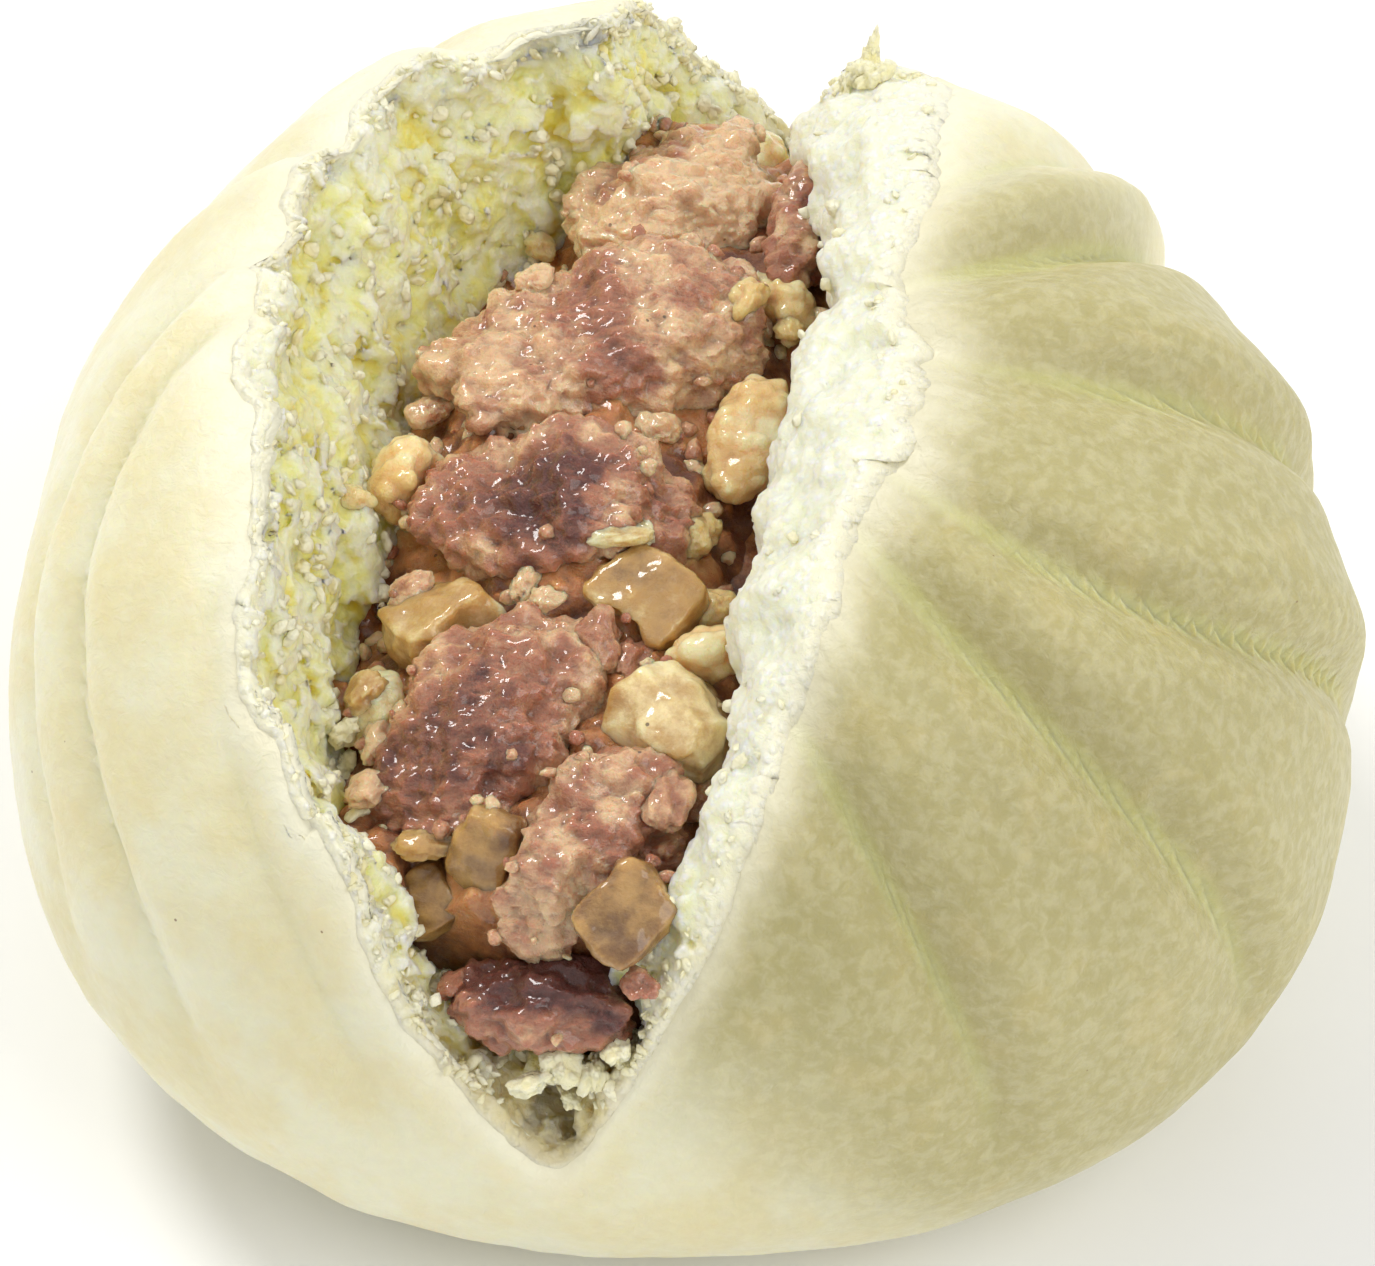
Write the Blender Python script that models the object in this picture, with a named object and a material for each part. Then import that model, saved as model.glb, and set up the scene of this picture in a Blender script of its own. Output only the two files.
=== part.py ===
"""A steamed pork bun, torn open from the top so that its halves gape and the filling shows.

One body of dough, the mass of minced filling that runs through it, and the pork, fat and
onion pieces that lie on that mass. The bun stands on Z = 0 with X across the tear and Y
along it; the low, wide end of the tear is at -Y. Lengths are in millimetres, and the
meshes are scaled to metres as they are made.
"""

import math

import bmesh
import bpy
import numpy as np
from mathutils import Matrix, Vector
from mathutils.bvhtree import BVHTree

MM = 0.001
GAP = 0.35  # room left between neighbouring solids
ATTEMPTS = 8  # tries at fitting a piece, each with this much more room than the last
MORE_ROOM = 0.12
LEAST_RAY = 0.3
CENTRE_X = 1.6  # middle of the finished bun in the frame that it is laid out in
CENTRE_Y = 1.95

# The bun before it is torn: radii, heights and how full its crown is
BUN_RADIUS_X = 51.3
BUN_RADIUS_Y = 53.3
EQUATOR_HEIGHT = 21.3
CROWN_RISE = 45.2
BASE_RADIUS = 31.4
CROWN_FULLNESS = 0.62
OUTLINE_WAVES = ((2, 0.011, -0.004), (3, 0.036, -0.038))
HALVES_LEAN = 7.2  # how far the top of each half leans away from the tear
LEAN_BLEND = 12.0

# Pleats gathered towards the crown: the azimuth where each crease starts, how far it turns on the
# way down, and its depth; those on the left half and at the front are shallow
PLEATS = (
    (2.5, 20, 2.5),
    (36.5, 14, 3.3),
    (62, -5, 1.5),
    (84, 20, 1.5),
    (104, 38, 1.4),
    (122, 60, 1.4),
    (140.5, 86, 1.0),
    (156, 86, 1.2),
    (200, 60, 0.8),
    (273, 39, 2.2),
    (300, 38, 2.6),
    (314, 52, 2.6),
)
PLEAT_WIDTH = 2.9
PLEAT_PUFF = 0.5  # height of the fold beside a crease, as a share of the crease's depth
PLEAT_PUFF_WIDTH = 4.8

# The torn edge of the skin, round the bun against the clock: azimuth and rise
# (0 at the widest level, 1 at the crown). It starts at the low front end of the tear.
TEAR_EDGE = (
    (-87.5, 0.06),
    (-82.0, 0.20),
    (-77.0, 0.38),
    (-71.0, 0.60),
    (-62.0, 0.78),
    (-35.0, 0.915),
    (25.0, 0.935),
    (60.0, 0.86),
    (74.0, 0.70),
    (81.0, 0.50),
    (93.5, 0.13),
    (102.5, 0.42),
    (107.5, 0.66),
    (117.5, 0.645),
    (135.0, 0.66),
    (165.0, 0.73),
    (193.0, 0.79),
    (224.0, 0.75),
    (240.0, 0.57),
    (254.0, 0.42),
    (262.0, 0.22),
)
TEAR_RAGGED = 0.9  # how far the torn edge wanders
CRAG = 1.3  # depth of the crags on the torn faces
LIP_REACH = (  # how far the right lip bulges over the filling, by the place along the bun
    (-46.5, 45.0),
    (-43.5, 14.0),
    (-38.0, 10.0),
    (-31.0, 9.0),
    (-25.0, 11.0),
    (-19.0, 15.0),
    (-12.0, 17.0),
    (4.0, 20.5),
    (10.0, 14.5),
    (24.0, 19.0),
)
LIP_BULGE_Z = 5.0
LEFT_HOLLOW = 1.0  # and the left one is a little hollow

# The hollow in the dough and the minced filling in it: centre, half sizes and squareness
HOLLOW_CENTRE = np.array((-0.8, -0.5, 29.0))
HOLLOW_SIZE = np.array((28.0, 41.5, 17.0))
HOLLOW_SQUARE = 2.6
CONTACT_SLOPE = 0.42  # height at which the torn face meets the filling, from the edge's height
CONTACT_LIFT = 15.5

# Rings of the dough: under the base, up the skin, over the torn face and down the hollow
DOUGH_COLUMNS = 132
BASE_RINGS = 1
SKIN_RINGS = 13
TORN_RINGS = 7
HOLLOW_RINGS = 3

# Filling pieces: x and y on the mince, heading of the long axis in degrees, half length,
# half width, half thickness, share of the thickness that stands clear, squareness, lumpiness
PIECES = {
    "pork_chunk_2": (-9.4, 10.4, 42, 13.6, 7.8, 4.6, 0.75, 2.8, 0.26),
    "pork_chunk_3": (-7.0, -6.6, 22, 10.2, 7.2, 4.4, 0.8, 2.6, 0.28),
    "pork_chunk_1": (-8.0, 27.4, 36, 8.9, 7.4, 4.0, 0.9, 2.5, 0.30),
    "pork_chunk_4": (-8.4, -26.6, 74, 11.8, 7.0, 3.7, 0.6, 2.5, 0.26),
    "pork_chunk_5": (1.9, -33.6, 60, 9.6, 5.0, 4.4, 0.9, 2.5, 0.26),
    "pork_chunk_6": (0.3, -41.0, 8, 7.2, 3.6, 3.4, 1.2, 2.2, 0.24),
    "pork_chunk_7": (3.9, 26.0, -92, 7.0, 3.2, 3.9, 1.5, 2.2, 0.34),
    "onion_piece_1": (0.6, -14.1, -21, 4.3, 3.4, 1.6, 2.8, 5.0, 0.10),
    "onion_piece_2": (5.4, -24.8, 44, 4.4, 4.6, 3.8, 1.1, 2.6, 0.16),
    "onion_piece_3": (-4.6, -35.3, 69, 3.7, 3.7, 1.4, 3.8, 3.6, 0.10),
    "onion_piece_4": (-9.5, -37.8, 36, 2.8, 2.9, 1.8, 1.4, 3.2, 0.12),
    "onion_piece_5": (5.3, -37.0, -38, 3.4, 3.8, 1.9, 4.5, 4.0, 0.10),
    "onion_piece_6": (-14.1, -18.2, 19, 4.7, 3.6, 3.1, 0.7, 2.8, 0.16),
    "fat_piece_1": (-19.0, -5.2, -3, 3.8, 3.4, 3.2, 1.2, 2.4, 0.26),
    "fat_piece_2": (4.2, 3.5, 86, 6.4, 3.6, 3.4, 1.0, 2.3, 0.32),
    "fat_piece_3": (3.3, 19.2, -69, 5.2, 2.9, 3.0, 1.4, 2.3, 0.30),
    "fat_piece_4": (-17.1, -25.1, 127, 3.5, 2.8, 2.4, 0.85, 2.4, 0.26),
    "fat_piece_5": (6.2, -18.6, 34, 3.9, 2.1, 2.4, 2.1, 2.2, 0.26),
    "fat_piece_6": (-3.9, 38.4, 67, 3.0, 2.2, 2.3, 1.6, 2.2, 0.30),
}
CORE_SEGMENTS = (28, 18)
PORK_SEGMENTS = (20, 13)
BIT_SEGMENTS = (12, 9)
TALL = {"onion_piece_3": 38.0, "onion_piece_5": -5.5, "onion_piece_1": 12.9}  # lean, degrees

LOOKS = {  # colour, roughness
    "dough": ((0.80, 0.76, 0.48), 0.55),
    "filling": ((0.52, 0.33, 0.21), 0.40),
    "pork": ((0.50, 0.29, 0.22), 0.35),
    "onion": ((0.72, 0.58, 0.36), 0.25),
    "fat": ((0.75, 0.52, 0.30), 0.35),
}


def lattice(cells, seed):
    """A number from -1 to 1 for each whole-numbered cell."""
    h = cells.astype(np.int64).astype(np.uint32)
    mixed = h[..., 0] * np.uint32(374761393) + h[..., 1] * np.uint32(668265263)
    mixed = mixed + h[..., 2] * np.uint32(2246822519) + np.uint32(seed * 3266489917 % 2**32)
    mixed = (mixed ^ (mixed >> np.uint32(15))) * np.uint32(2246822519)
    mixed = (mixed ^ (mixed >> np.uint32(13))) * np.uint32(3266489917)
    return (mixed ^ (mixed >> np.uint32(16))).astype(np.float64) / 2.0**31 - 1.0


def lumps(points, size, seed):
    """Smooth noise from -1 to 1 whose lumps are about this size."""
    scaled = points / size
    cell = np.floor(scaled)
    part = scaled - cell
    part = part * part * part * (part * (part * 6.0 - 15.0) + 10.0)
    total = np.zeros(points.shape[:-1])
    for corner in np.ndindex(2, 2, 2):
        weight = np.prod(np.where(corner, part, 1.0 - part), axis=-1)
        total += weight * lattice(cell + np.array(corner), seed)
    return total


def ramp(value, low, high):
    """0 below low, 1 above high and smooth between."""
    s = np.clip((value - low) / (high - low), 0.0, 1.0)
    return s * s * (3.0 - 2.0 * s)


def pleat_relief(azimuth, rise, radius):
    """How far the skin stands out at each pleat's puffed side and in at its crease."""
    down = 1.0 - np.clip(rise, 0.0, 1.0) ** 1.5
    strength = ramp(rise, -0.15, 0.35) * (1.0 - 0.6 * ramp(rise, 0.76, 0.94))
    relief = np.zeros_like(azimuth)
    for start, twist, depth in PLEATS:
        across = azimuth - np.radians(start + twist * down)
        across = (across + np.pi) % (2.0 * np.pi) - np.pi
        across = across * radius
        relief -= depth * np.exp(-((across / PLEAT_WIDTH) ** 2))
        puffed = (across - PLEAT_PUFF_WIDTH) / PLEAT_PUFF_WIDTH
        relief += PLEAT_PUFF * depth * np.exp(-(puffed**2))
    return relief * strength


def skin_points(azimuth, rise):
    """Points of the outer skin. Rise runs from -1, where the base is flat, to 1 at the crown."""
    under = np.clip(-rise, 0.0, 1.0) * np.pi / 2.0
    over = np.clip(rise, 0.0, 1.0) * np.pi / 2.0
    lower = BASE_RADIUS + (BUN_RADIUS_X - BASE_RADIUS) * np.cos(under)
    upper = BUN_RADIUS_X * np.cos(over) ** CROWN_FULLNESS
    radius = np.where(rise < 0.0, lower, upper)
    height = np.where(
        rise < 0.0,
        EQUATOR_HEIGHT * (1.0 - np.sin(under)),
        EQUATOR_HEIGHT + CROWN_RISE * np.sin(over),
    )
    outline = np.ones_like(azimuth)
    for waves, cosine, sine in OUTLINE_WAVES:
        wave = cosine * np.cos(waves * azimuth) + sine * np.sin(waves * azimuth)
        outline += wave * (1.0 - 0.5 * under * 2.0 / np.pi)
    radius = radius * outline
    relief = pleat_relief(azimuth, rise, radius)
    x = radius * np.cos(azimuth)
    y = radius * np.sin(azimuth) * BUN_RADIUS_Y / BUN_RADIUS_X
    low = 0.6 * EQUATOR_HEIGHT
    top = EQUATOR_HEIGHT + CROWN_RISE
    lean = HALVES_LEAN * np.clip((height - low) / (top - low), 0.0, 1.0) ** 1.3
    x = x + lean * np.tanh(x / LEAN_BLEND)
    points = np.stack((x, y, height), axis=-1)
    outward = points - np.array((0.0, 0.0, EQUATOR_HEIGHT))
    outward /= np.linalg.norm(outward, axis=-1, keepdims=True)
    return points + outward * relief[..., None]


def through(stations, count):
    """Points spaced evenly along the closed smooth curve through the stations."""
    stations = np.asarray(stations)
    fine = []
    for i in range(len(stations)):
        a, b, c, d = (stations[(i + k) % len(stations)] for k in (-1, 0, 1, 2))
        s = np.linspace(0.0, 1.0, 24, endpoint=False)[:, None]
        bend = (2 * a - 5 * b + 4 * c - d) * s**2 + (3 * b - a - 3 * c + d) * s**3
        fine.append(b + 0.5 * ((c - a) * s + bend))
    fine = np.concatenate(fine + [fine[0][:1]])
    solid = skin_points(*unwrapped(fine))
    walked = np.concatenate(([0.0], np.cumsum(np.linalg.norm(np.diff(solid, axis=0), axis=1))))
    wanted = np.arange(count) / count * walked[-1]
    return np.stack([np.interp(wanted, walked, fine[:, k]) for k in (0, 1)], axis=-1)


def unwrapped(flat):
    """Azimuth and rise of points on the map that looks down on the crown."""
    return np.arctan2(flat[:, 1], flat[:, 0]), 1.0 - np.hypot(flat[:, 0], flat[:, 1])


def tear_edge(count):
    """Azimuth and rise of the torn edge of the skin at evenly spaced columns."""
    turn = np.radians([station[0] for station in TEAR_EDGE])
    out = 1.0 - np.array([station[1] for station in TEAR_EDGE])
    flat = through(np.stack((out * np.cos(turn), out * np.sin(turn)), axis=-1), count)
    azimuth, rise = unwrapped(flat)
    azimuth = np.unwrap(azimuth)
    azimuth += 2.0 * np.pi * round((np.radians(TEAR_EDGE[0][0]) - azimuth[0]) / (2.0 * np.pi))
    return azimuth, rise


def hollow_points(around, level):
    """Points of the hollow's wall, from its azimuth and its level, -1 at the floor to 1."""
    wide = (1.0 - np.abs(level) ** HOLLOW_SQUARE) ** (1.0 / HOLLOW_SQUARE)
    plan = np.abs(np.cos(around)) ** HOLLOW_SQUARE + np.abs(np.sin(around)) ** HOLLOW_SQUARE
    wide = wide / plan ** (1.0 / HOLLOW_SQUARE)
    unit = np.stack((wide * np.cos(around), wide * np.sin(around), level), axis=-1)
    return HOLLOW_CENTRE + HOLLOW_SIZE * unit


def torn_face(edge, contact, rings):
    """The craggy face from the torn edge of the skin down to the filling."""
    reach = edge[:, 0] - HOLLOW_CENTRE[0]
    right = ramp(reach, 2.0, 14.0) * ramp(edge[:, 2], 34.0, 58.0)
    left = ramp(-reach, 6.0, 20.0) * ramp(edge[:, 2], 34.0, 58.0)
    knee = (edge + contact) / 2.0
    bulge = np.interp(edge[:, 1], *zip(*LIP_REACH))
    knee[:, 0] -= bulge * right + LEFT_HOLLOW * left
    knee[:, 2] += LIP_BULGE_Z * right - LEFT_HOLLOW * left
    s = (np.arange(1, rings + 1) / (rings + 1))[:, None, None]
    face = (1 - s) ** 2 * edge + 2 * s * (1 - s) * knee + s**2 * contact
    down = np.gradient(face, axis=0)
    along = (np.roll(face, -1, axis=1) - np.roll(face, 1, axis=1)) / 2.0
    normal = np.cross(along, down)
    normal /= np.linalg.norm(normal, axis=-1, keepdims=True)
    open_here = ramp(edge[:, 2], 28.0, 44.0)[None, :] * ramp(s[:, :, 0], 0.0, 0.2)
    relief = CRAG * lumps(face, 7.0, 3) + 0.8 * CRAG * lumps(face, 3.4, 4)
    return face + normal * (relief * open_here * ramp(1.1 - s[:, :, 0], 0.0, 0.3))[..., None]


def dough_rings():
    """The dough's rings from the middle of the base to the middle of the hollow's floor."""
    azimuth, rise = tear_edge(DOUGH_COLUMNS)
    column = np.arange(DOUGH_COLUMNS) / DOUGH_COLUMNS
    wander = np.stack((azimuth * 14.0, rise * 60.0, np.zeros_like(rise)), axis=-1)
    rise = rise + TEAR_RAGGED / CROWN_RISE * lumps(wander, 2.6, 8) * ramp(rise, 0.2, 0.5)
    spread = azimuth[0] + 2.0 * np.pi * column
    edge = skin_points(azimuth, rise)
    base_edge = skin_points(spread, np.full_like(spread, -1.0))
    rings = []
    for ring in range(1, BASE_RINGS + 1):
        rings.append(base_edge * np.array((1.0, 1.0, 0.0)) * ring / (BASE_RINGS + 1))
    rings.append(base_edge)
    for ring in range(1, SKIN_RINGS + 1):
        s = ring / SKIN_RINGS
        rings.append(skin_points(spread + (azimuth - spread) * s**1.5, -1.0 + s * (rise + 1.0)))
    around = np.arctan2(
        (edge[:, 1] - HOLLOW_CENTRE[1]) / HOLLOW_SIZE[1],
        (edge[:, 0] - HOLLOW_CENTRE[0]) / HOLLOW_SIZE[0],
    )
    contact_level = (CONTACT_SLOPE * edge[:, 2] + CONTACT_LIFT - HOLLOW_CENTRE[2]) / HOLLOW_SIZE[2]
    contact = hollow_points(around, contact_level)
    rings.extend(torn_face(edge, contact, TORN_RINGS))
    rings.append(contact)
    for ring in range(1, HOLLOW_RINGS + 1):
        s = ring / (HOLLOW_RINGS + 1)
        start = np.arcsin(contact_level)
        rings.append(hollow_points(around, np.sin(start + (-np.pi / 2.0 - start) * s)))
    return np.array(rings)


def ball(columns, rings):
    """A UV sphere's mesh with the ring and column of each vertex; ring 0 is its south pole."""
    mesh = bmesh.new()
    bmesh.ops.create_uvsphere(mesh, u_segments=columns, v_segments=rings, radius=1.0)
    place = np.array([v.co for v in mesh.verts])
    ring = np.rint(np.arccos(np.clip(-place[:, 2], -1.0, 1.0)) / np.pi * rings).astype(int)
    column = np.rint(np.arctan2(place[:, 1], place[:, 0]) / (2 * np.pi) * columns).astype(int)
    return mesh, ring, column % columns


def finish(name, mesh, points, look, collection):
    """An object with this shape and look, in metres and centred on the bun."""
    centred = (points - np.array((CENTRE_X, CENTRE_Y, 0.0))) * MM
    for vertex, place in zip(mesh.verts, centred):
        vertex.co = place
    bmesh.ops.recalc_face_normals(mesh, faces=mesh.faces)
    bmesh.ops.triangulate(mesh, faces=mesh.faces)
    data = bpy.data.meshes.new(name)
    mesh.to_mesh(data)
    mesh.free()
    data.shade_smooth()
    data.materials.append(material(name, *LOOKS[look]))
    part = bpy.data.objects.new(name, data)
    collection.objects.link(part)
    return part


def material(name, colour, roughness):
    """A plain surface of this colour."""
    made = bpy.data.materials.new(name)
    made.use_nodes = True
    shader = made.node_tree.nodes["Principled BSDF"]
    shader.inputs["Base Color"].default_value = (*colour, 1.0)
    shader.inputs["Roughness"].default_value = roughness
    shader.inputs["Metallic"].default_value = 0.0
    return made


def surface_of(mesh, points):
    """A search tree of a closed shape, in millimetres, with its faces pointing out."""
    for vertex, place in zip(mesh.verts, points):
        vertex.co = place
    bmesh.ops.recalc_face_normals(mesh, faces=mesh.faces)
    solid = mesh.copy()
    bmesh.ops.triangulate(solid, faces=solid.faces)
    tree = BVHTree.FromBMesh(solid)
    solid.free()
    return tree


def fitted(mesh, points, middle, neighbours):
    """The shape cut back along the rays from its middle, so that it clears every neighbour."""
    middle = Vector(middle)
    rays = [Vector(point) - middle for point in points]
    for attempt in range(ATTEMPTS):
        room = GAP + MORE_ROOM * attempt
        for i, ray in enumerate(rays):
            length = ray.length
            way = ray.normalized()
            for tree in neighbours:
                hit = tree.ray_cast(middle, way, length + room)
                if hit[0] is not None:
                    length = min(length, max(hit[3] - room, LEAST_RAY))
            while length > LEAST_RAY and any(
                tree.find_nearest(middle + way * length, room)[0] is not None for tree in neighbours
            ):
                length *= 0.95
            points[i] = middle + way * length
        own = surface_of(mesh, points)
        if not any(own.overlap(tree) for tree in neighbours):
            break
    return points, own


def make_dough(collection):
    """The torn bun: one closed body with a flat base and a hollow that opens in the tear."""
    rings = dough_rings()
    mesh, ring, column = ball(DOUGH_COLUMNS, len(rings) + 1)
    floor = HOLLOW_CENTRE - np.array((0.0, 0.0, HOLLOW_SIZE[2]))
    grid = np.concatenate(
        (
            np.zeros((1, DOUGH_COLUMNS, 3)),
            rings,
            np.broadcast_to(floor, (1, DOUGH_COLUMNS, 3)),
        )
    )
    points = grid[ring, column]
    tree = surface_of(mesh, points)
    finish("dough", mesh, points, "dough", collection)
    return tree


def make_core(collection, dough):
    """The minced filling: it fills the hollow and shows, lumpy, between the larger pieces."""
    columns, rings = CORE_SEGMENTS
    mesh, ring, column = ball(columns, rings)
    level = -np.cos(ring / rings * np.pi)
    points = hollow_points(column / columns * 2.0 * np.pi, level)
    outward = points - HOLLOW_CENTRE
    outward /= np.linalg.norm(outward, axis=-1, keepdims=True)
    bumps = 0.9 * lumps(points, 5.0, 21) * ramp(points[:, 2], 34.0, 42.0)
    points = points + outward * (bumps - 1.5 * GAP)[:, None]
    points, tree = fitted(mesh, points, HOLLOW_CENTRE, [dough])
    finish("filling", mesh, points, "filling", collection)
    return tree


def mince_top(x, y):
    """The place on the top of the mince over x and y, and the way that it faces there."""
    flat = (np.array((x, y)) - HOLLOW_CENTRE[:2]) / HOLLOW_SIZE[:2]
    used = float((np.abs(flat) ** HOLLOW_SQUARE).sum())
    level = max(1.0 - used, 0.02) ** (1.0 / HOLLOW_SQUARE)
    unit = np.array((*flat, level))
    slope = np.sign(unit) * np.abs(unit) ** (HOLLOW_SQUARE - 1.0) / HOLLOW_SIZE
    return HOLLOW_CENTRE + HOLLOW_SIZE * unit, slope / np.linalg.norm(slope)


def make_piece(name, collection, neighbours, seed):
    """A chunk that rests on the mince, lumpy or cut square, turned to its heading."""
    x, y, heading, length, width, thickness, clear, square, rough = PIECES[name]
    columns, rings = PORK_SEGMENTS if name.startswith("pork") else BIT_SEGMENTS
    mesh, ring, column = ball(columns, rings)
    unit = np.array([v.co for v in mesh.verts])
    unit /= (np.abs(unit) ** square).sum(axis=1, keepdims=True) ** (1.0 / square)
    size = np.array((length, width, thickness))
    body = unit * size
    swell = rough * (lumps(body, 0.9 * thickness + 1.5, seed) + 0.6 * lumps(body, 2.4, seed + 1))
    body = body * (1.0 + swell)[:, None]
    foot, normal = mince_top(x, y)
    turn = Matrix.Rotation(math.radians(heading), 3, "Z")
    lean = Matrix.Rotation(math.radians(TALL.get(name, 0.0)), 3, "X")
    settle = Vector((0.0, 0.0, 1.0)).rotation_difference(Vector(normal)).to_matrix()
    frame = np.array(settle @ lean @ turn)
    middle = foot + normal * thickness * clear
    points, tree = fitted(mesh, body @ frame.T + middle, middle, neighbours)
    finish(name, mesh, points, name.split("_")[0], collection)
    return tree


def clear_scene():
    """Removes what is in the scene at the start."""
    for old in list(bpy.data.objects):
        bpy.data.objects.remove(old, do_unlink=True)


def build():
    """Makes the bun."""
    clear_scene()
    collection = bpy.data.collections.new("steamed_pork_bun")
    bpy.context.scene.collection.children.link(collection)
    dough = make_dough(collection)
    made = [dough, make_core(collection, dough)]
    for seed, name in enumerate(PIECES):
        made.append(make_piece(name, collection, made, 40 + 3 * seed))


build()
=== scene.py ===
"""The looks of a steamed pork bun, torn open so that its filling shows.

Shapes are laid out in millimetres, in the frame that the solids were laid out in, and are
moved and scaled to the frame's metres as each mesh is made.
"""

import math

import bmesh
import bpy
import numpy as np
from mathutils import Matrix, Vector


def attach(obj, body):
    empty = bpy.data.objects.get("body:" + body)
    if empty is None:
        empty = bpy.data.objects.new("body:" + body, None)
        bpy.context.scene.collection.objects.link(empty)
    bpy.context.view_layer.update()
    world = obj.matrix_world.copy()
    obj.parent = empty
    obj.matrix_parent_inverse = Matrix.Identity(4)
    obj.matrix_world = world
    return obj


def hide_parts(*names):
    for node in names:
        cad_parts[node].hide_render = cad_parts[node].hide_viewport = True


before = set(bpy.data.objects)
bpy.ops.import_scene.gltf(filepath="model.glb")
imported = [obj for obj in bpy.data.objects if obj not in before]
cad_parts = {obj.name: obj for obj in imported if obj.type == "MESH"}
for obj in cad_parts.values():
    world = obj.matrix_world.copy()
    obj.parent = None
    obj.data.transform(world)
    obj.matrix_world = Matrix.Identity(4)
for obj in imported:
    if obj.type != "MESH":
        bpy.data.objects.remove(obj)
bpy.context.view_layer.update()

MM = 0.001
CENTRE = np.array((1.6, 1.95, 0.0))

# The bun before it is torn, as in the solids
BUN_RADIUS_X = 51.3
BUN_RADIUS_Y = 53.3
EQUATOR_HEIGHT = 21.3
CROWN_RISE = 45.2
BASE_RADIUS = 31.4
CROWN_FULLNESS = 0.62
OUTLINE_WAVES = ((2, 0.011, -0.004), (3, 0.036, -0.038))
HALVES_LEAN = 7.2
LEAN_BLEND = 12.0
MIDDLE = np.array((0.0, 0.0, EQUATOR_HEIGHT))
# Pleats: where each crease starts at the crown, how far it turns on the way down, its depth
PLEATS = (
    (2.5, 20, 2.5), (36.5, 14, 3.3), (62, -5, 1.5), (84, 20, 1.5), (104, 38, 1.4), (122, 60, 1.4),
    (140.5, 86, 1.0), (156, 86, 1.2), (200, 60, 0.8), (273, 39, 2.2), (300, 38, 2.6),
    (314, 52, 2.6),
)
PLEAT_WIDTH = 2.9
PLEAT_PUFF = 0.5
PLEAT_PUFF_WIDTH = 4.8
CREASE_WIDTH = 0.8  # the sharp line at the bottom of each crease
CREASE_DEPTH = 0.22  # as a share of the pleat's depth
GATHERED_AND_SHADED_SIDE = np.array((0.74, -0.34, 0.58))  # the side where the skin is darker and more olive: partly the gathered skin's own colour, partly painted shade away from the key light
TEAR_EDGE = (  # azimuth and rise
    (-87.5, 0.06), (-82.0, 0.20), (-77.0, 0.38), (-71.0, 0.60), (-62.0, 0.78), (-35.0, 0.915),
    (25.0, 0.935), (60.0, 0.86), (74.0, 0.70), (81.0, 0.50), (93.5, 0.13), (102.5, 0.42),
    (107.5, 0.66), (117.5, 0.645), (135.0, 0.66), (165.0, 0.73), (193.0, 0.79), (224.0, 0.75),
    (240.0, 0.57), (254.0, 0.42), (262.0, 0.22),
)
TEAR_RAGGED = 0.9
CRAG = 1.3
LIP_REACH = (  # places along the bun, and how far the right lip bulges over the filling there
    (-46.5, 45.0), (-43.5, 14.0), (-38.0, 10.0), (-31.0, 9.0), (-25.0, 11.0), (-19.0, 15.0),
    (-12.0, 17.0), (4.0, 20.5), (10.0, 14.5), (24.0, 19.0),
)
LIP_BULGE_Z = 5.0
LEFT_HOLLOW = 1.0
HOLLOW_CENTRE = np.array((-0.8, -0.5, 29.0))
HOLLOW_SIZE = np.array((28.0, 41.5, 17.0))
HOLLOW_SQUARE = 2.6
CONTACT_SLOPE = 0.42
CONTACT_LIFT = 15.5

# The bed of mince between the pieces, on a grid seen from above
GRID = 0.42
GRID_LOW = np.array((-30.0, -50.0))
GRID_SHAPE = (138, 220)
BED_LOW = 26.0
BED_HIGH = 58.0
BED_EVEN = 3.6  # the reach over which the tops of the pieces are evened out
BED_UNDER = 1.3  # how far the bed lies under those evened-out tops
BED_BELOW = 2.2  # the least depth of the bed under a piece that covers it
BED_COVER = 0.4  # the least depth of the bed over the solid's own mince
BED_RISE = 0.6  # how far the bed stands over the foot of the torn faces
BED_RELIEF = 2.9  # how far its granules may reach
BED_KEEP = 0.42  # the share of its faces that thinning leaves
RIM_COLUMNS = 240

# The photograph: its size, the angles it is taken from, how far the bun is, its scale there in
# pixels to the millimetre, and the point that it is aimed at
PHOTO_SIZE = (1375.0, 1266.0)
VIEW_AZIMUTH = 14.0
VIEW_ELEVATION = 50.0
VIEW_DISTANCE = 700.0
VIEW_SCALE = 12.5
VIEW_HEIGHT = 28.0
VIEW_ASIDE = (0.408, 0.592)

# How finely the dough is meshed
SKIN_COLUMNS = 640
SKIN_RINGS = 104
RECESS_RINGS = 8
RECESS = 1.8  # how far the skin's body lies under the crumb's surface
LEAST_RECESS = 0.7  # and how far it does so at the tear's edge
SKIN_DROP = 1.0  # how far the skin itself sinks there
CRUMB_STEP = 0.30
CRUMB_ROWS = 84
CRUMB_OVER = 3.6
CRUMB_UNDER = 2.4
CRUMB_BAND = 1.4  # how far the surface may lie from where a first look puts it
LIP_OVER = 4.2  # how far the crumb may reach over the skin beside the tear
FLAKE_STEPS = 1.3
NUDGE = 0.01  # a short way on the map of the crown, to see how long it is on the skin
BITS_ABOVE = 30.0  # loose bits lie above this height
SPARE = 1e-12  # keeps a division from being one by 0
FLOOR_HEIGHT = -0.2  # just under the bun's base


def hashed(cells, seed):
    """A scrambled whole number for each whole-numbered cell."""
    h = cells.astype(np.int64).astype(np.uint32)
    mixed = h[..., 0] * np.uint32(374761393) + h[..., 1] * np.uint32(668265263)
    mixed = mixed + h[..., 2] * np.uint32(2246822519) + np.uint32(seed * 3266489917 % 2**32)
    mixed = (mixed ^ (mixed >> 15)) * np.uint32(2246822519)
    mixed = (mixed ^ (mixed >> 13)) * np.uint32(3266489917)
    return mixed ^ (mixed >> 16)


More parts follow.
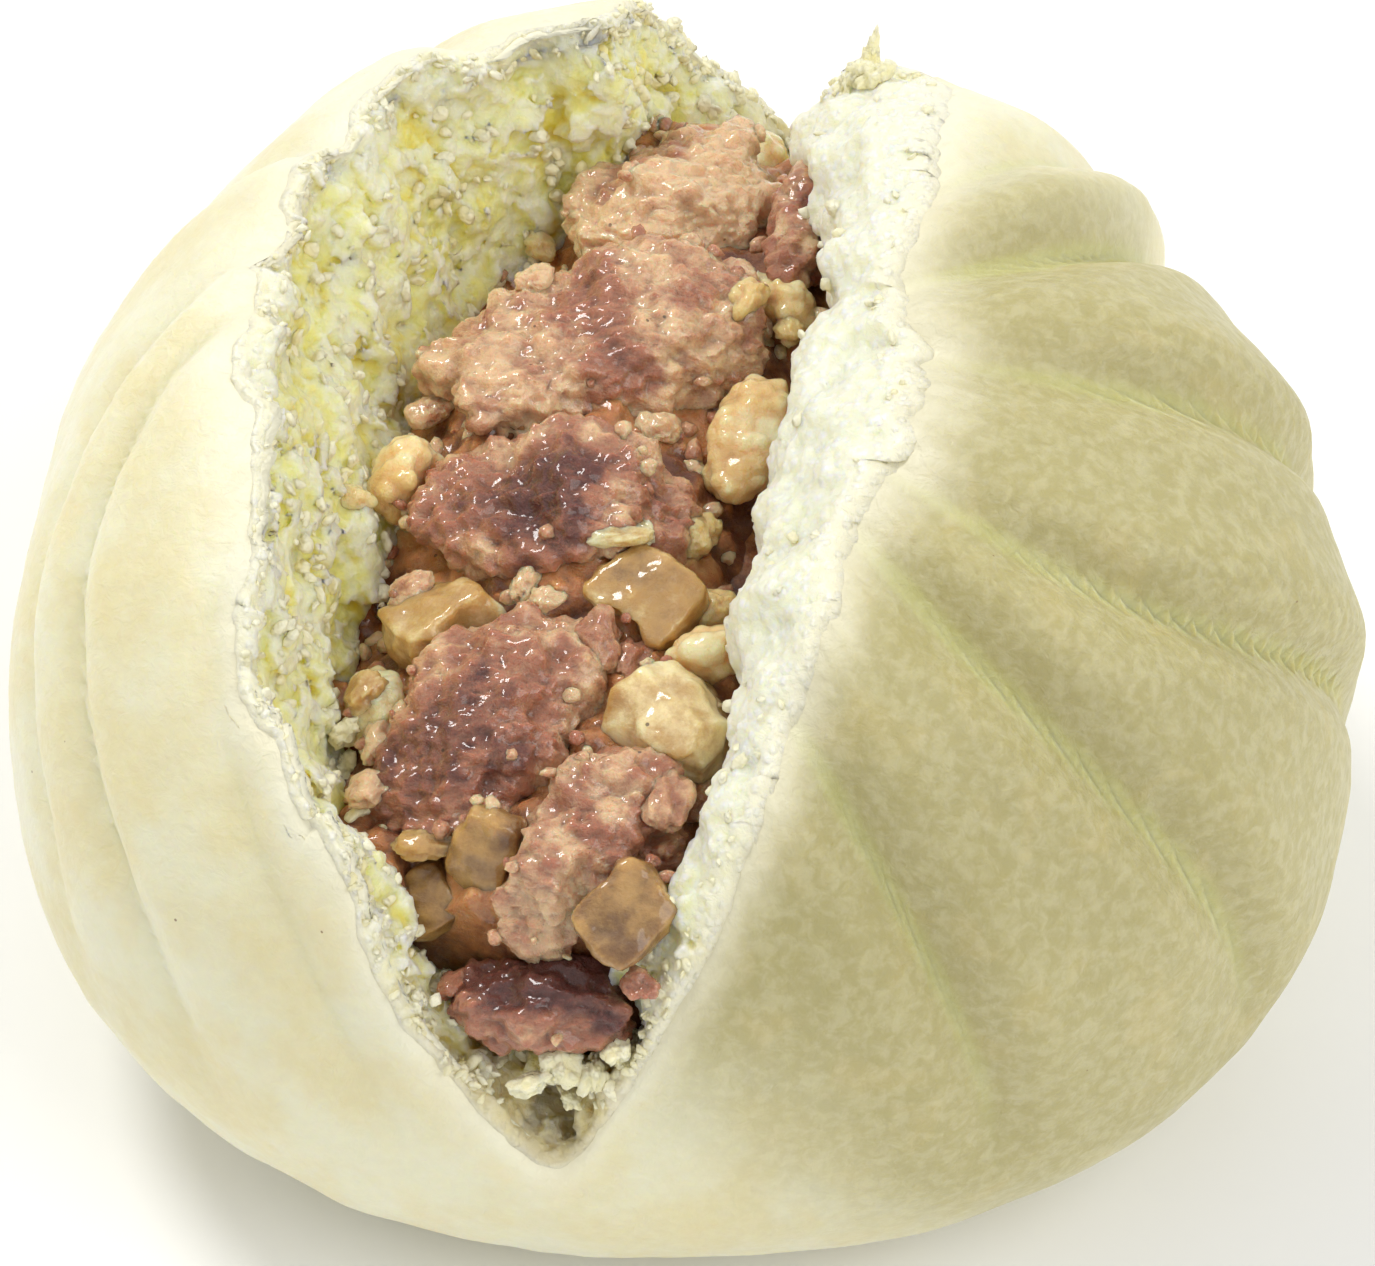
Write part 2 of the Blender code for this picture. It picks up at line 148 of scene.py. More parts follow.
def lumps(points, size, seed):
    """Smooth noise from -1 to 1 whose lumps are about this size."""
    scaled = points / size
    cell = np.floor(scaled)
    part = scaled - cell
    part = part * part * part * (part * (part * 6.0 - 15.0) + 10.0)
    total = np.zeros(points.shape[:-1])
    for corner in np.ndindex(2, 2, 2):
        weight = np.prod(np.where(corner, part, 1.0 - part), axis=-1)
        total += weight * (hashed(cell + np.array(corner), seed) / 2.0**31 - 1.0)
    return total


def rough(points, size, seed, octaves, fall=0.5):
    """Noise with several sizes of lump, each half the size of the last."""
    total = np.zeros(points.shape[:-1])
    for k in range(octaves):
        total += fall**k * lumps(points, size / 2.0**k, seed + 17 * k)
    return total


def grains(points, size, seed):
    """Distance to the nearest of points scattered one to a cell, in cells of this size."""
    scaled = points / size
    cell = np.floor(scaled)
    near = np.full(points.shape[:-1], 9.0)
    for step in np.ndindex(3, 3, 3):
        there = cell + (np.array(step) - 1.0)
        h = hashed(there, seed)
        jitter = np.stack([(h >> 10 * k) & 1023 for k in range(3)], axis=-1)
        near = np.minimum(near, np.linalg.norm(there + jitter / 1023.0 - scaled, axis=-1))
    return near


def bend(points, far, size, seed):
    """The points moved aside by smooth noise."""
    return points + far * np.stack([lumps(points, size, seed + k) for k in range(3)], axis=-1)


def ramp(value, low, high):
    """0 below low, 1 above high and smooth between."""
    s = np.clip((value - low) / (high - low), 0.0, 1.0)
    return s * s * (3.0 - 2.0 * s)


def unit(ways, spare=0.0):
    """The directions, each with a length of 1."""
    return ways / (np.linalg.norm(ways, axis=-1, keepdims=True) + spare)


def outward(points):
    """The direction of each point from the middle of the bun."""
    return unit(points - MIDDLE)


def pleat_relief(azimuth, rise, radius, fine):
    """How far the skin stands out at each pleat's puffed side and in at its crease."""
    down = 1.0 - np.clip(rise, 0.0, 1.0) ** 1.5
    strength = ramp(rise, -0.15, 0.35) * (1.0 - 0.6 * ramp(rise, 0.76, 0.94))
    relief = np.zeros_like(azimuth)
    lines = np.zeros_like(azimuth)
    for start, twist, depth in PLEATS:
        across = azimuth - np.radians(start + twist * down)
        across = (across + np.pi) % (2.0 * np.pi) - np.pi
        across = across * radius
        relief -= depth * np.exp(-((across / PLEAT_WIDTH) ** 2))
        puffed = (across - PLEAT_PUFF_WIDTH) / PLEAT_PUFF_WIDTH
        relief += PLEAT_PUFF * depth * np.exp(-(puffed**2))
        lines += depth * np.exp(-((across / CREASE_WIDTH) ** 2))
    return (relief - fine * CREASE_DEPTH * lines) * strength, lines * strength


def skin_points(azimuth, rise, fine=0.0, marks=None):
    """Points of the outer skin. Rise runs from -1, where the base is flat, to 1 at the crown."""
    under = np.clip(-rise, 0.0, 1.0) * np.pi / 2.0
    over = np.clip(rise, 0.0, 1.0) * np.pi / 2.0
    lower = BASE_RADIUS + (BUN_RADIUS_X - BASE_RADIUS) * np.cos(under)
    upper = BUN_RADIUS_X * np.cos(over) ** CROWN_FULLNESS
    radius = np.where(rise < 0.0, lower, upper)
    height = EQUATOR_HEIGHT * (1.0 - np.sin(under)) + CROWN_RISE * np.sin(over)
    outline = np.ones_like(azimuth)
    for waves, cosine, sine in OUTLINE_WAVES:
        wave = cosine * np.cos(waves * azimuth) + sine * np.sin(waves * azimuth)
        outline += wave * (1.0 - 0.5 * under * 2.0 / np.pi)
    radius = radius * outline
    relief, lines = pleat_relief(azimuth, rise, radius, fine)
    if marks is not None:
        marks.append(lines)
    x = radius * np.cos(azimuth)
    y = radius * np.sin(azimuth) * BUN_RADIUS_Y / BUN_RADIUS_X
    low = 0.6 * EQUATOR_HEIGHT
    top = EQUATOR_HEIGHT + CROWN_RISE
    lean = HALVES_LEAN * np.clip((height - low) / (top - low), 0.0, 1.0) ** 1.3
    x = x + lean * np.tanh(x / LEAN_BLEND)
    points = np.stack((x, y, height), axis=-1)
    return points + outward(points) * relief[..., None]


def through(stations, count):
    """Points spaced evenly along the closed smooth curve through the stations."""
    fine = []
    for i in range(len(stations)):
        a, b, c, d = (stations[(i + k) % len(stations)] for k in (-1, 0, 1, 2))
        s = np.linspace(0.0, 1.0, 24, endpoint=False)[:, None]
        curve = (2 * a - 5 * b + 4 * c - d) * s**2 + (3 * b - a - 3 * c + d) * s**3
        fine.append(b + 0.5 * ((c - a) * s + curve))
    fine = np.concatenate(fine + [fine[0][:1]])
    solid = skin_points(*unwrapped(fine))
    walked = np.concatenate(([0.0], np.cumsum(np.linalg.norm(np.diff(solid, axis=0), axis=1))))
    wanted = np.arange(count) / count * walked[-1]
    return np.stack([np.interp(wanted, walked, fine[:, k]) for k in (0, 1)], axis=-1)


def flattened(azimuth, rise):
    """Points on the map that looks down on the crown."""
    return (1.0 - rise)[:, None] * np.stack((np.cos(azimuth), np.sin(azimuth)), axis=-1)


def unwrapped(flat):
    """Azimuth and rise of points on the map that looks down on the crown."""
    return np.arctan2(flat[:, 1], flat[:, 0]), 1.0 - np.hypot(flat[:, 0], flat[:, 1])


def tear_edge(count):
    """Azimuth and rise of the torn edge of the skin at evenly spaced columns."""
    turn, rise = np.array(TEAR_EDGE).T
    azimuth, rise = unwrapped(through(flattened(np.radians(turn), rise), count))
    azimuth = np.unwrap(azimuth)
    azimuth += 2.0 * np.pi * round((np.radians(TEAR_EDGE[0][0]) - azimuth[0]) / (2.0 * np.pi))
    return azimuth, rise


def ragged(azimuth, rise):
    """The rise of the torn edge with the raggedness of the tear."""
    wander = np.stack((azimuth * 14.0, rise * 60.0, np.zeros_like(rise)), axis=-1)
    uneven = lumps(wander, 2.6, 8) + 0.45 * rough(wander * 3.0, 2.4, 31, 3)
    uneven *= ramp(rise, 0.2, 0.5) * (1.0 - 0.5 * ramp(rise, 0.75, 0.93))
    return rise + TEAR_RAGGED / CROWN_RISE * uneven


def hollow_points(around, level):
    """Points of the hollow's wall, from its azimuth and its level, -1 at the floor to 1."""
    wide = (1.0 - np.abs(level) ** HOLLOW_SQUARE) ** (1.0 / HOLLOW_SQUARE)
    plan = np.abs(np.cos(around)) ** HOLLOW_SQUARE + np.abs(np.sin(around)) ** HOLLOW_SQUARE
    wide = wide / plan ** (1.0 / HOLLOW_SQUARE)
    place = np.stack((wide * np.cos(around), wide * np.sin(around), level), axis=-1)
    return HOLLOW_CENTRE + HOLLOW_SIZE * place


def contact_line(edge):
    """Where the torn face meets the filling: its azimuth, level and points, for each column."""
    x, y, _ = ((edge - HOLLOW_CENTRE) / HOLLOW_SIZE).T
    around = np.arctan2(y, x)
    level = (CONTACT_SLOPE * edge[:, 2] + CONTACT_LIFT - HOLLOW_CENTRE[2]) / HOLLOW_SIZE[2]
    return around, level, hollow_points(around, level)


def torn_face(edge, contact, s):
    """The torn face without its crags, from the skin's edge (s = 0) to the filling (s = 1)."""
    reach = edge[:, 0] - HOLLOW_CENTRE[0]
    right = ramp(reach, 2.0, 14.0) * ramp(edge[:, 2], 34.0, 58.0)
    left = ramp(-reach, 6.0, 20.0) * ramp(edge[:, 2], 34.0, 58.0)
    knee = (edge + contact) / 2.0
    bulge = np.interp(edge[:, 1], *zip(*LIP_REACH))
    knee[:, 0] -= bulge * right + LEFT_HOLLOW * left
    knee[:, 2] += LIP_BULGE_Z * right - LEFT_HOLLOW * left
    s = s[:, None, None]
    face = (1 - s) ** 2 * edge + 2 * s * (1 - s) * knee + s**2 * contact
    down = np.gradient(face, axis=0)
    along = (np.roll(face, -2, axis=1) - np.roll(face, 2, axis=1)) / 4.0
    return face, unit(np.cross(along, down), SPARE), right


def crags(face, edge, s):
    """The relief that the torn face has in the solids as well."""
    open_here = ramp(edge[:, 2], 28.0, 44.0)[None, :] * ramp(s, 0.0, 0.2)[:, None]
    relief = CRAG * lumps(face, 7.0, 3) + 0.8 * CRAG * lumps(face, 3.4, 4)
    return relief * open_here * ramp(1.1 - s, 0.0, 0.3)[:, None]


def net(field, place):
    """Vertices and quads of the surface where the field changes sign; it is negative inside."""
    field = np.pad(field, 1, constant_values=1.0)
    place = np.pad(place, ((1, 1), (1, 1), (1, 1), (0, 0)), mode="edge")
    inside = field < 0.0
    size = np.array(field.shape) - 1
    count = np.zeros(size, np.int8)
    for a, b, c in np.ndindex(2, 2, 2):
        count += inside[a : a + size[0], b : b + size[1], c : c + size[2]]
    cells = np.argwhere((count > 0) & (count < 8))
    number = np.full(size, -1)
    number[tuple(cells.T)] = np.arange(len(cells))
    total = np.zeros((len(cells), place.shape[-1]))
    hits = np.zeros(len(cells))
    faces = []
    step = np.eye(3, dtype=int)
    for axis in range(3):
        one, two = (axis + 1) % 3, (axis + 2) % 3
        for a, b in np.ndindex(2, 2):
            start = cells + a * step[one] + b * step[two]
            end = start + step[axis]
            low, high = field[tuple(start.T)], field[tuple(end.T)]
            cross = (low < 0.0) != (high < 0.0)
            t = (low / (low - high + SPARE))[cross, None]
            first = place[tuple(start[cross].T)]
            total[cross] += first + (place[tuple(end[cross].T)] - first) * t
            hits[cross] += 1
        here = np.moveaxis(inside, (axis, one, two), (0, 1, 2))[:, 1:-1, 1:-1]
        change = np.argwhere(here[:-1] != here[1:])
        leaves = here[tuple(change.T)]
        node = np.zeros_like(change)
        node[:, (axis, one, two)] = change + (0, 1, 1)
        corners = [node, node - step[one], node - step[one] - step[two], node - step[two]]
        quad = np.stack([number[tuple(corner.T)] for corner in corners], axis=-1)
        faces.append(np.where(leaves[:, None], quad, quad[:, ::-1]))
    return total / hits[:, None], np.concatenate(faces)


def placed(name, data):
    """A new object in the scene."""
    made = bpy.data.objects.new(name, data)
    bpy.context.scene.collection.objects.link(made)
    return made


def piece(name, points, faces, look, slot, stands_for=(), keep=1.0, **marks):
    """A mesh in the frame, with its material and a number at each vertex, which hides the solid's
    parts that it stands for.

    Keep is the share of its faces that thinning leaves. Gives the points back.
    """
    data = bpy.data.meshes.new(name)
    data.vertices.add(len(points))
    data.vertices.foreach_set("co", ((points - CENTRE) * MM).astype(np.float32).ravel())
    data.loops.add(sum(part.size for part in faces))
    data.loops.foreach_set("vertex_index", np.concatenate([part.ravel() for part in faces]))
    widths = np.concatenate([np.full(len(part), part.shape[1]) for part in faces])
    data.polygons.add(len(widths))
    data.polygons.foreach_set("loop_start", np.cumsum(widths) - widths)
    data.polygons.foreach_set("use_smooth", np.ones(len(widths), bool))
    data.update(calc_edges=True)
    data.validate()
    for mark, values in marks.items():
        spot = data.attributes.new(mark, "FLOAT", "POINT")
        spot.data.foreach_set("value", np.asarray(values, np.float32))
    data.materials.append(look)
    made = placed(name, data)
    if keep < 1.0:
        made.modifiers.new("thin", "DECIMATE").ratio = keep
        thinned = made.evaluated_get(bpy.context.evaluated_depsgraph_get())
        made.data = bpy.data.meshes.new_from_object(thinned)
        made.modifiers.clear()
        made.data.name = name
    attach(made, "root")
    if stands_for:
        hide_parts(*stands_for)
    return points


def grid_faces(rings, columns):
    """Quads between closed rings, counted ring by ring, and fans to a point before and after."""
    here = np.arange(rings * columns).reshape(rings, columns)
    after = np.roll(here, -1, axis=1)
    quads = np.stack((here[:-1], after[:-1], after[1:], here[1:]), axis=-1).reshape(-1, 4)
    low = np.stack((np.full(columns, here.size), after[0], here[0]), axis=-1)
    high = np.stack((np.full(columns, here.size + 1), here[-1], after[-1]), axis=-1)
    return [quads, np.concatenate((low, high))]


def skin_surface(azimuth, rise, marks=None, fine=0.0):
    """The outer skin with its shallow unevenness."""
    skin = skin_points(azimuth, rise, fine, marks)
    relief = 0.42 * lumps(skin, 13.0, 61) + 0.16 * lumps(skin, 5.0, 62)
    relief += 0.05 * lumps(skin, 2.1, 63) + 0.03 * lumps(skin, 1.1, 64)
    return skin + outward(skin) * (relief * ramp(skin[..., 2], 0.5, 6.0))[..., None]


def pleated(points):
    """How far a point is in the darker, more olive skin of the right half: partly the gathered
    skin's own colour, partly painted shade on the side away from the key light.
    """
    return ramp(outward(points) @ GATHERED_AND_SHADED_SIDE + 0.06 * lumps(points, 11.0, 65), 0.36, 0.86)


def make_skin(look):
    """The dough's outer skin over the whole bun, closed a little under the torn faces."""
    azimuth, rise = tear_edge(SKIN_COLUMNS)
    even = skin_surface(azimuth, rise)
    rise = ragged(azimuth, rise)
    spread = azimuth[0] + 2.0 * np.pi * np.arange(SKIN_COLUMNS) / SKIN_COLUMNS
    base = skin_points(spread, np.full_like(spread, -1.0))
    rings = [base * np.array((share, share, 0.0)) for share in (0.25, 0.5, 0.75, 1.0)]
    lines = [np.zeros(SKIN_COLUMNS) for _ in rings]
    for ring in range(1, SKIN_RINGS + 1):
        s = ring / SKIN_RINGS
        at = (spread + (azimuth - spread) * s**1.5, -1.0 + s * (rise + 1.0))
        rings.append(skin_surface(*at, lines, 1.0 - ramp(s, 0.87, 0.95)))
    skin = np.array(rings)
    edge = skin[-1].copy()
    gone = np.linalg.norm(skin - edge, axis=-1)
    skin = skin - outward(skin) * (SKIN_DROP * (1.0 - ramp(gone, 0.0, 3.0)))[..., None]
    around, level, contact = contact_line(even)
    s = np.linspace(0.0, 1.0, RECESS_RINGS + 2)
    face, normal, _ = torn_face(even, contact, s)
    face, normal = face[1:], normal[1:]
    depth = np.linalg.norm(face - edge, axis=-1)
    face = face + (edge - even) * (1.0 - ramp(depth, 0.0, 5.0))[..., None]
    under = LEAST_RECESS + (RECESS - LEAST_RECESS) * ramp(depth, 0.0, 2.5)
    inner = face - normal * under[..., None]
    share = np.array((0.6, 0.25))[:, None]
    floor = hollow_points(around, np.sin(np.arcsin(level) * share - np.pi / 2 * (1 - share)))
    rings = np.concatenate((skin, inner, floor))
    low = HOLLOW_CENTRE - np.array((0.0, 0.0, HOLLOW_SIZE[2]))
    points = np.concatenate((rings.reshape(-1, 3), np.zeros((1, 3)), low[None]))
    extra = np.zeros(len(points) - skin.shape[0] * SKIN_COLUMNS)
    faces = grid_faces(len(rings), SKIN_COLUMNS)
    piece(
        "bun_skin", points, faces, look, "dough", ("dough",),
        crease=np.concatenate((np.array(lines).ravel(), extra)),
        inward=np.concatenate((gone.ravel(), extra)),
        pleated=pleated(points),
    )


def torn_sheet(columns):
    """The sheet that the crumb grows on: over the skin's edge and down the torn face.

    Gives its points and their normals, how far each point is inside the edge (less than 0 on
    the skin), how far each column is on the right side, the crags of the solid at each point,
    and how far each column is on the shallow ends of the tear.
    """
    azimuth, rise = tear_edge(columns)
    even = skin_surface(azimuth, rise)
    _, _, contact = contact_line(even)
    s = np.linspace(0.0, 1.0, CRUMB_ROWS)
    face, _, right = torn_face(even, contact, s)
    flat = flattened(azimuth, rise)
    along = np.roll(flat, -4, axis=0) - np.roll(flat, 4, axis=0)
    away = unit(np.stack((along[:, 1], -along[:, 0]), axis=-1))
    near = skin_surface(*unwrapped(flat + NUDGE * away))
    away *= NUDGE / np.linalg.norm(near - even, axis=-1, keepdims=True)
    out = np.arange(round(LIP_OVER / CRUMB_STEP), 0, -1) * CRUMB_STEP
    over = [skin_surface(*unwrapped(flat + far * away)) for far in out]
    sheet = np.concatenate((np.array(over), face))
    inward = np.linalg.norm(face - face[:1], axis=-1)
    inward = np.concatenate((np.repeat(-out[:, None], columns, axis=1), inward))
    for _ in range(40):
        mean = (sheet[:-2] + sheet[2:]) / 2.0
        share = 0.5 * np.exp(-((inward[1:-1] / 1.6) ** 2))
        sheet[1:-1] += (mean - sheet[1:-1]) * share[..., None]
    down = np.gradient(sheet, axis=0)
    side = (np.roll(sheet, -2, axis=1) - np.roll(sheet, 2, axis=1)) / 4.0
    normal = unit(np.cross(side, down), SPARE)
    clear = outward(sheet)
    normal = unit(clear + (normal - clear) * ramp(inward, -2.2, 0.0)[..., None])
    edge = skin_surface(azimuth, ragged(azimuth, rise))
    fade = ramp(inward, 0.0, 5.0) + ramp(-inward, 0.0, LIP_OVER)
    sheet = sheet + (edge - even) * (1.0 - fade)[..., None]
    s = np.concatenate((np.zeros(len(out)), s))
    return sheet, normal, inward, right, crags(sheet, even, s), 1.0 - ramp(even[:, 2], 26.0, 44.0)


def crumb_relief(place, inward, right, end):
    """How far the crumb stands out of the torn face, and where its flakes end.

    Noise cut into steps makes the flakes that lie over one another with ragged edges.
    """
    warp = [0.7 * lumps(place, 1.5, 75 + k) + 0.35 * lumps(place, 0.6, 78 + k) for k in range(3)]
    bent = place + np.stack(warp, axis=-1)
    cloud = 0.85 * lumps(bent, 4.0, 71) + 0.70 * lumps(bent, 2.0, 72)
    cloud += 0.6 * (0.6 - grains(bent, 1.5, 73))
    steps = cloud * FLAKE_STEPS
    part = steps - np.floor(steps)
    flakes = (np.floor(steps) + ramp(part, 0.0, 0.34)) / FLAKE_STEPS
    rim = ramp(part, 0.08, 0.36) * (1.0 - ramp(part, 0.55, 1.0))
    bead = 0.5 - grains(place + 0.25 * np.stack(warp[::-1], axis=-1), 0.85, 87)
    fine = 0.20 * lumps(place, 0.9, 74) + 0.14 * lumps(place, 0.5, 84) + 0.42 * bead
    left = 1.00 * flakes + 0.40 * cloud + fine
    calm = 0.22 * flakes + 0.20 * cloud + 0.85 * fine
    relief = left + (calm - left) * right
    relief += end * ramp(inward, 1.5, 6.0) * (1.3 + 0.5 * cloud)
    relief *= 0.12 + 0.88 * ramp(inward, -0.6, 2.2)
    shore = inward + 0.6 * lumps(place, 2.9, 85) + 0.3 * lumps(place, 1.1, 86)
    return relief + 0.05 - 1.0 * (1.0 - ramp(shore, -3.2, 0.3)), rim


def make_crumb(look, name, first, last, columns, keep):
    """The torn face's crumb between two shares of the tear's length, as a shell of flakes.

    Gives its points, each with the marks that the piece carries.
    """
    sheet, normal, inward, right, relief, end = torn_sheet(columns)
    picked = np.arange(round(first * columns), round(last * columns) + 1) % columns
    sheet, normal, relief, inward = (part[:, picked] for part in (sheet, normal, relief, inward))
    right, end = (np.broadcast_to(part[picked], inward.shape) for part in (right, end))
    rough_guess = crumb_relief(sheet + normal * relief[..., None], inward, right, end)[0]
    w = np.arange(-CRUMB_UNDER, CRUMB_OVER + CRUMB_STEP, CRUMB_STEP)
    place = sheet[..., None, :] + normal[..., None, :] * (relief[..., None] + w)[..., None]
    inward, right, end, high = (
        np.broadcast_to(part, place.shape[:-1])
        for part in (inward[..., None], right[..., None], end[..., None], w)
    )
    field = high - rough_guess[..., None]
    near = np.abs(field) < CRUMB_BAND
    rim = np.zeros_like(field)
    grown, rim[near] = crumb_relief(place[near], inward[near], right[near], end[near])
    field[near] = high[near] - grown
    full = np.concatenate((place, np.stack((inward, high, right, rim, end), axis=-1)), axis=-1)
    points, faces = net(field, full)
    marks = dict(zip(("inward", "depth", "right", "rim", "end"), points[:, 3:].T))
    marks["pleated"] = pleated(points[:, :3])
    piece(name, points[:, :3], [faces], look, "dough", ("dough",), keep, **marks)
    return points


def tint(red, green, blue):
    """A colour as it shows on a screen, as the shader wants it."""
    return tuple((v / 255.0) ** 2.2 for v in (red, green, blue)) + (1.0,)


class Paint:
    """The nodes of one material."""

    def __init__(self, name):
        self.look = bpy.data.materials.new(name)
        self.look.use_nodes = True
        self.tree = self.look.node_tree
        self.shader = self.tree.nodes["Principled BSDF"]
        self.spot = self.tree.nodes.new("ShaderNodeTexCoord").outputs["Object"]

    def put(self, kind, inputs, **settings):
        """A node with these settings, and values or links for its inputs."""
        node = self.tree.nodes.new(kind)
        for key, value in settings.items():
            setattr(node, key, value)
        self.feed(node, inputs)
        return node

    def feed(self, node, inputs):
        """Links each input that is another node's output, and sets the others."""
        for key, value in inputs.items():
            if isinstance(value, bpy.types.NodeSocket):
                self.tree.links.new(value, node.inputs[key])
            else:
                node.inputs[key].default_value = value

    def mark(self, name):
        """The number that the mesh carries at each point."""
        return self.put("ShaderNodeAttribute", {}, attribute_name=name).outputs["Fac"]

    def stretched(self, scale, turn):
        """Places drawn out and turned, for fibres."""
        inputs = {"Vector": self.spot, "Scale": scale, "Rotation": turn}
        return self.put("ShaderNodeMapping", inputs).outputs[0]

    def noise(self, size, detail, rough=0.5, warp=0.0, at=None):
        """Cloudy noise from 0 to 1 with lumps of this size in millimetres."""
        inputs = {"Vector": at or self.spot, "Scale": 1.0 / (size * MM), "Detail": detail}
        inputs.update({"Roughness": rough, "Distortion": warp})
        return self.put("ShaderNodeTexNoise", inputs).outputs["Fac"]

    def cells(self, size, at=None):
        """Distance to the nearest of points scattered this far apart."""
        inputs = {"Vector": at or self.spot, "Scale": 1.0 / (size * MM)}
        return self.put("ShaderNodeTexVoronoi", inputs).outputs["Distance"]

    def span(self, value, low, high, to_low=0.0, to_high=1.0):
        """The value carried smoothly from one range to another, and held at its ends."""
        inputs = {"Value": value, "From Min": low, "From Max": high}
        inputs.update({"To Min": to_low, "To Max": to_high})
        return self.put("ShaderNodeMapRange", inputs, interpolation_type="SMOOTHSTEP").outputs[0]

    def maths(self, kind, one, two):
        """Arithmetic on two numbers."""
        return self.put("ShaderNodeMath", {0: one, 1: two}, operation=kind).outputs[0]

    def times(self, one, two):
        """The product of two numbers."""
        return self.maths("MULTIPLY", one, two)

    def mix(self, share, one, two):
        """A colour between two colours."""
        return self.put("ShaderNodeMix", {0: share, 6: one, 7: two}, data_type="RGBA").outputs[2]

    def bump(self, height, depth, strength=1.0, under=None):
        """A bumped normal; depth in millimetres for a height of 1."""
        inputs = {"Height": height, "Distance": depth * MM, "Strength": strength}
        if under is not None:
            inputs["Normal"] = under
        return self.put("ShaderNodeBump", inputs).outputs[0]

    def wear(self, colour, roughness, normal, **more):
        """Sets the shader's inputs, and gives the material."""
        inputs = {"Base Color": colour, "Roughness": roughness, "Normal": normal}
        inputs.update((key.replace("_", " "), value) for key, value in more.items())
        self.feed(self.shader, inputs)
        return self.look


def skin_colour(p, gone):
    """The skin's colour: pale yellow and cloudy, darker and more olive on the right-front side
    (partly the gathered skin's colour, partly painted shade), with painted shade that darkens the
    creases to a greener yellow, and whiter by the tear.
    """
    cloud = p.span(p.noise(9.0, 3.0, 0.55), 0.35, 0.65)
    colour = p.mix(cloud, tint(232, 229, 199), tint(228, 219, 176))
    # Painted shade, with some of the gathered skin's own colour: darker and more olive on the
    # right-front side
    colour = p.mix(p.span(p.mark("pleated"), 0.0, 1.0), colour, tint(181, 172, 122))
    mottle = p.span(p.noise(1.3, 3.0, 0.6, 0.4), 0.36, 0.70)
    colour = p.mix(p.times(mottle, 0.20), colour, tint(243, 239, 208))
    warm = p.span(p.noise(6.0, 2.0, 0.5, 0.6), 0.56, 0.72)
    colour = p.mix(p.times(warm, 0.10), colour, tint(238, 212, 146))
    # Painted shade: darker and greener along the crease lines
    crease = p.span(p.mark("crease"), 0.1, 1.9)
    colour = p.mix(p.times(crease, 0.45), colour, tint(204, 204, 134))
    return p.mix(p.times(p.span(gone, 9.0, 0.0), 0.62), colour, tint(248, 243, 218))


def skin_paint():
    """Steamed skin with a finely pebbled surface and rare dark specks."""
    p = Paint("dough_skin")
    colour = skin_colour(p, p.mark("inward"))
    speck = p.span(p.cells(5.2), 0.030, 0.018)
    rare = p.span(p.noise(14.0, 1.0), 0.45, 0.55)
    colour = p.mix(p.times(p.times(speck, rare), 0.8), colour, tint(130, 98, 60))
    pebble = p.noise(1.15, 3.0, 0.62, 0.5)
    fibre = p.noise(1.0, 2.0, 0.5, 0.8, p.stretched((0.30, 1.0, 0.55), (0.3, 0.2, 0.6)))
    normal = p.bump(pebble, 0.40, 0.6)
    normal = p.bump(fibre, 0.22, 0.5, normal)
    roughness = p.span(p.noise(1.6, 2.0), 0.3, 0.7, 0.42, 0.62)
    return p.wear(
        colour, roughness, normal, Subsurface_Weight=p.span(p.mark("inward"), 1.5, 6.0),
        Subsurface_Scale=1.5 * MM, Subsurface_Radius=(1.0, 0.85, 0.42),
        Coat_Weight=0.10, Coat_Roughness=0.35, Specular_IOR_Level=0.4,
    )


